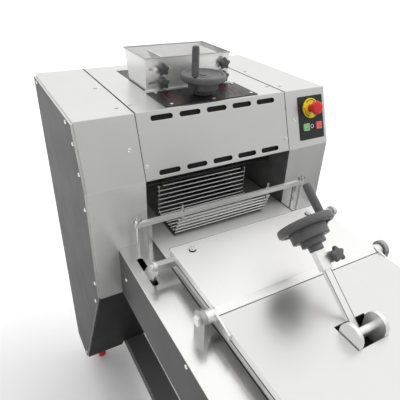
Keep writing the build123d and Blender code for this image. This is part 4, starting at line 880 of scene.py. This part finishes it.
arrow_marks = []
for count in range(3):
    middle = 90 + 120 * count
    for step in range(6):
        spot, way = on_collar(middle - 35 + 11 * step)
        arrow_marks.append(tick(f"arrow_{count}_{step}", stroke_length, 0.0024, spot, way, lean_out))
    spot, way = on_collar(middle + 33)
    arrow_head = turned(f"arrow_head_{count}", [(0.0040, 0), (0.0040, print_height)], steps=3)
    arrow_marks.append(settle(arrow_head, spot, lean_out, Vector(lean_out).cross(way)))
fit(merge("collar_arrows", arrow_marks), "frame", "black_plate", mark_black)


def square_button(name):
    """A square cap with a raised border, its corners rounded and its face set back."""
    bpy.ops.object.select_all(action="DESELECT")
    bpy.ops.mesh.primitive_cube_add(size=1, location=(0, 0, 0))
    cap = bpy.context.object
    cap.name = name
    cap.data.name = name
    bpy.ops.object.mode_set(mode="EDIT")
    bpy.ops.mesh.select_mode(type="FACE")
    bpy.ops.transform.resize(value=(0.022, 0.022, 0.0125))
    bpy.ops.transform.translate(value=(0, 0, -0.00125))
    bpy.ops.mesh.select_all(action="DESELECT")
    bpy.ops.object.mode_set(mode="OBJECT")
    for face in cap.data.polygons:
        face.select = face.normal.z > 0.9
    bpy.ops.object.mode_set(mode="EDIT")
    bpy.ops.mesh.inset(thickness=0.0022, depth=0)
    bpy.ops.mesh.inset(thickness=0.0005, depth=-0.0007)
    bpy.ops.object.mode_set(mode="OBJECT")
    rounding = cap.modifiers.new("rounding", "BEVEL")
    rounding.width = 0.0011
    rounding.segments = 3
    rounding.limit_method = "ANGLE"
    rounding.angle_limit = radians(60)
    bpy.ops.object.modifier_apply(modifier=rounding.name)
    bpy.ops.object.shade_smooth_by_angle(angle=radians(38))
    return cap


button_green = moulded_finish("button_green", (0.33, 0.62, 0.30), 0.35, 900, 0.0008, worn=1.1)
button_red = moulded_finish("button_red", (0.82, 0.17, 0.16), 0.35, 900, 0.0008, worn=1.1)
mark_green = moulded_finish("mark_green", (0.05, 0.20, 0.05), 0.5, 900, 0.0001)
mark_red = moulded_finish("mark_red", (0.36, 0.02, 0.02), 0.5, 900, 0.0001)
mark_white = moulded_finish("mark_white", (0.80, 0.80, 0.80), 0.5, 900, 0.0001)
button_down = 0.115
symbol_down = 0.1105
word_down = 0.1200
button_front = plate_front + 0.0044
for name, button_x, cap_finish, slot, mark_finish, mark, switched in (
    ("start", 0.3050, button_green, "start_green", mark_green, "I", "ON"),
    ("stop", 0.3546, button_red, "stop_red", mark_red, "O", "OFF"),
):
    cap = settle(square_button(name + "_cap"), on_lean(button_x, button_down, plate_front), lean_out)
    fit(cap, name + "_button", slot, cap_finish, name + "_button")
    symbol = figure(name + "_symbol", mark, 0.0125, on_lean(button_x, symbol_down, button_front), lean_out)
    word = figure(name + "_word", switched, 0.0088, on_lean(button_x, word_down, button_front), lean_out)
    fit(merge(name + "_sign", [symbol, word]), name + "_button", slot, mark_finish)
ring_rings = [(0.0048, 0), (0.0062, 0), (0.0062, print_height), (0.0048, print_height)]
ring_mark = turned("ring_mark", ring_rings, steps=40, bored=True)
ring_x = 0.3298
settle(ring_mark, on_lean(ring_x, button_down, plate_front), lean_out)
fit(ring_mark, "frame", "white_plastic", mark_white)

# The table sides are bent stainless, with a polished deck strip on each side of the belt.
# The grain runs along the table; the deck mirrors what stands on it, and the aprons are painted dark as
# shade.
deck_steel = steel_finish(
    "deck_steel", 0.90, stainless, 0.20, (900, 6, 900), 0.0022, depth=0.015, sheen=0.1
)
paint_shade_zone(deck_steel, "Z", start=0.9385, full=0.9360, shade=0.150, metal=0.12, blur=0.26)
dress(deck_steel, "left_table", "right_table", "table_end")
dress(shaded_base_steel, "belt_bed")

# Each deck slot opens into a black pocket, painted shade for the dark inside of the table.
# The lugs that carry the board's cross bar stand in the two pockets.
shade_pocket_black = moulded_finish("shade_pocket_black", (0.008, 0.008, 0.008), 0.7, 700, 0.0006)


def open_pocket(name, width, length, height, middle):
    """A black pocket of painted shade: a floor drawn up into four walls, open on top."""
    pocket = cut_sheet(name, width, length)
    bpy.ops.mesh.extrude_region_move(TRANSFORM_OT_translate={"value": (0, 0, height)})
    bpy.ops.mesh.delete(type="ONLY_FACE")
    bpy.ops.mesh.select_all(action="SELECT")
    bpy.ops.mesh.normals_make_consistent(inside=False)
    bpy.ops.object.mode_set(mode="OBJECT")
    pocket_wall = pocket.modifiers.new("wall", "SOLIDIFY")
    pocket_wall.thickness = 0.0010
    pocket_wall.offset = -1
    bpy.ops.object.modifier_apply(modifier=pocket_wall.name)
    return settle(pocket, middle)


for side, hand in (("left", -1), ("right", 1)):
    slot_floor = (hand * 0.287, 0.145, 0.9107)
    slot_pocket = open_pocket(
        side + "_slot_pocket", width=0.036, length=0.134, height=0.0270, middle=slot_floor
    )
    fit(slot_pocket, "frame", "knob_black", shade_pocket_black)

# The conveyor belt is an endless pale grey food belt with a fine woven face, on two steel drums.
# It is painted darker towards the throat as shade, and darker still under the mat as the mat's painted
# shadow.
belt_cloth = moulded_finish("belt_cloth", (0.66, 0.66, 0.65), 0.5, 1400, 0.001, worn=1.06)
paint_shade_zone(belt_cloth, "Y", start=0.15, full=0.33, shade=0.32, blur=-0.10)
paint_shade_zone(belt_cloth, "Y", start=0.241, full=0.258, shade=0.22, within=("X", -0.162, 0.148))
dress(belt_cloth, "conveyor_belt")
drum_steel = steel_finish("drum_steel", 0.6, (1, 1, 1), 0.3, level_grain, 0.001)
dress(drum_steel, "drive_drum", "idler_drum")

# The mat is a row of bright rods joined by links, and it hangs from a flat bar over the belt.
# Rods, links and bar are ground stainless, and two uprights carry the bar on the deck.
# Its back end hangs from a second bar in the throat, which is painted dark as the shade there.
bright_rod = steel_finish("bright_rod", 0.92, (1, 1, 1), 0.16, level_grain, 0.0003, depth=0.01)
dress(bright_rod, "chain_mat")
bar_steel = steel_finish("bar_steel", 0.88, stainless, 0.32, level_grain, 0.0010, metal=0.7, depth=0.02)
dress(bar_steel, "mat_bar")
fitting_steel = steel_finish("fitting_steel", 0.62, stainless, 0.24, (90, 90, 9), 0.0008, metal=0.9)
paint_shade_zone(fitting_steel, "Y", start=0.30, full=0.31, shade=0.10, metal=0.2)
dress(fitting_steel, "mat_fittings")

# The rear board plate is a folded sheet on a square cross bar and a shaft, over a white slab.
# A bright hem finishes its back edge, with a black line behind it as painted shade, and two bolts pass
# through it there.
# The front board is a sheet tray over a like slab; it turns on the shaft, and the arm stands in a black
# pocket of painted shade.
# The rear plate and the front board are one steel, painted lighter on the plate and darker on the board for
# the light each mirrors.
board_grain = (900, 7, 900)
board_steel = steel_finish("board_steel", 0.78, stainless, 0.31, board_grain, 0.0015, depth=0.006)
dress(board_steel, "board_plate")
plate_steel = steel_finish(
    "plate_steel", 0.90, stainless, 0.36, board_grain, 0.0015, metal=0.8, depth=0.006
)
dress(plate_steel, "rear_board_plate")
dress(bar_steel, "board_shaft", "board_fittings")
cross_bar_steel = steel_finish("cross_bar_steel", 0.70, stainless, 0.26, level_grain, 0.0008, metal=0.85)
dress(cross_bar_steel, "board_bar")
# The posts are painted darker, as the shade on their faces.
shaded_post_steel = steel_finish("shaded_post_steel", 0.40, stainless, 0.30, (900, 90, 9), 0.0008, metal=0.8)
dress(shaded_post_steel, "board_posts")
slab_plastic = moulded_finish("slab_plastic", (0.62, 0.62, 0.60), 0.4, 500, 0.001)
dress(slab_plastic, "rear_board_slab", "board_slab")
pocket_floor = (0, -0.2783, 0.9671)
arm_pocket = open_pocket("arm_pocket", width=0.0834, length=0.0645, height=0.0310, middle=pocket_floor)
fit(arm_pocket, "board", "knob_black", shade_pocket_black)
# Black lines along the joints of plate and slab on each side are painted shade.
joint_width = 0.0030
for board, body, edge_x, joint_z, joint_y, joint_length in (
    ("rear", "frame", 0.235, 0.990, -0.0005, 0.169),
    ("front", "board", 0.236, 0.982, -0.388, 0.542),
):
    for side, hand in (("left", -1), ("right", 1)):
        spot = (hand * edge_x, joint_y, joint_z)
        joint = tick(f"{side}_{board}_joint", joint_length, joint_width, spot, (0, 1, 0), (hand, 0, 0))
        fit(joint, body, "knob_black", shade_black)
hem_rings = [(0.0010, -0.2349), (0.0017, -0.2342), (0.0017, 0.2342), (0.0010, 0.2349)]
for name, finish, slot, hem_y, hem_z in (
    ("plate_hem", bright_rod, "zinc", 0.1232, 1.0074),
    ("plate_shade_line", shade_black, "knob_black", 0.1262, 1.0056),
):
    hem = turned(name, hem_rings, steps=20)
    fit(settle(hem, (0, hem_y, hem_z), (1, 0, 0), (0, 1, 0)), "frame", slot, finish)
bolt_y = 0.094
plate_top_z = 1.009
bolt_seat_z = 1.0096
# Each bolt sits on a black washer, which also stands in as painted shade round its head.
washer_rings = [(0.0042, 0), (0.0095, 0), (0.0097, 0.0003), (0.0093, 0.0007), (0.0042, 0.0007)]
for side, bolt_x in (("left", -0.186), ("right", 0.186)):
    bolt = pin_nut(side + "_board_bolt", radius=0.0080, thickness=0.0060)
    fit(settle(bolt, (bolt_x, bolt_y, bolt_seat_z)), "frame", "zinc", screw_steel)
    washer = turned(side + "_bolt_washer", washer_rings, bored=True)
    fit(settle(washer, (bolt_x, bolt_y, plate_top_z)), "frame", "knob_black", shade_black)

# The adjusting arm is a flat ground bar, its edges painted dark as shade, in a sliding sleeve with the
# handwheel.
# The wheel has the top wheel's form on a longer neck, and a star knob clamps the sleeve.
arm_steel, arm_edge_shade = (
    steel_finish(name, 0.86, stainless, 0.30, (900, 40, 40), 0.0010, metal=0.8, depth=0.02)
    for name in ("arm_steel", "arm_edge_shade")
)
dress(arm_steel, "arm_sleeve")
paint_shade_zone(arm_edge_shade, "X", start=0.0070, full=0.0076, shade=0.22, within=("X", -0.0093, 0.0093))
dress(arm_edge_shade, "arm_bar")
arm_lean = radians(37)
arm_cos = cos(arm_lean)
arm_sin = sin(arm_lean)
arm_way = (0, arm_cos, arm_sin)


def along_arm(reach, x=0.0, up=0.0):
    """A point on the arm, by its reach from the pin and its height over the bar's middle."""
    pin_y, pin_z = -0.275, 0.985
    return (x, pin_y + arm_cos * reach - arm_sin * up, pin_z + arm_sin * reach + arm_cos * up)


neck_rings = [(0.0150, -0.0130), (0.0165, -0.0118), (0.0165, 0.0000)]
pressure_wheel = turned("pressure_handwheel", neck_rings + wheel_rings)
settle(pressure_wheel, along_arm(reach=0.1993), arm_way)
fit(pressure_wheel, "pressure_wheel", "wheel_black", wheel_plastic, "pressure_wheel")
grip_angle = radians(7)
pin_x = grip_circle * cos(grip_angle)
pin_up = grip_circle * sin(grip_angle)
pressure_grip = turned("pressure_handle", grip_rings, steps=40)
settle(pressure_grip, along_arm(0.2563, pin_x, pin_up), arm_way)
fit(pressure_grip, "pressure_grip", "wheel_black", grip_plastic, "pressure_grip")
pressure_nut = pin_nut("pressure_pin_nut", nut_radius, nut_thickness)
settle(pressure_nut, along_arm(0.2404, pin_x, pin_up), (0, -arm_cos, -arm_sin))
fit(pressure_nut, "pressure_wheel", "wheel_black", grip_plastic)
arm_clamp = settle(knob_pattern, along_arm(0.164, x=0.031, up=0.006), (0, -arm_sin, arm_cos))
arm_clamp.name = "arm_star"
fit(arm_clamp, "arm_knob", "knob_black", knob_plastic, "arm_knob")
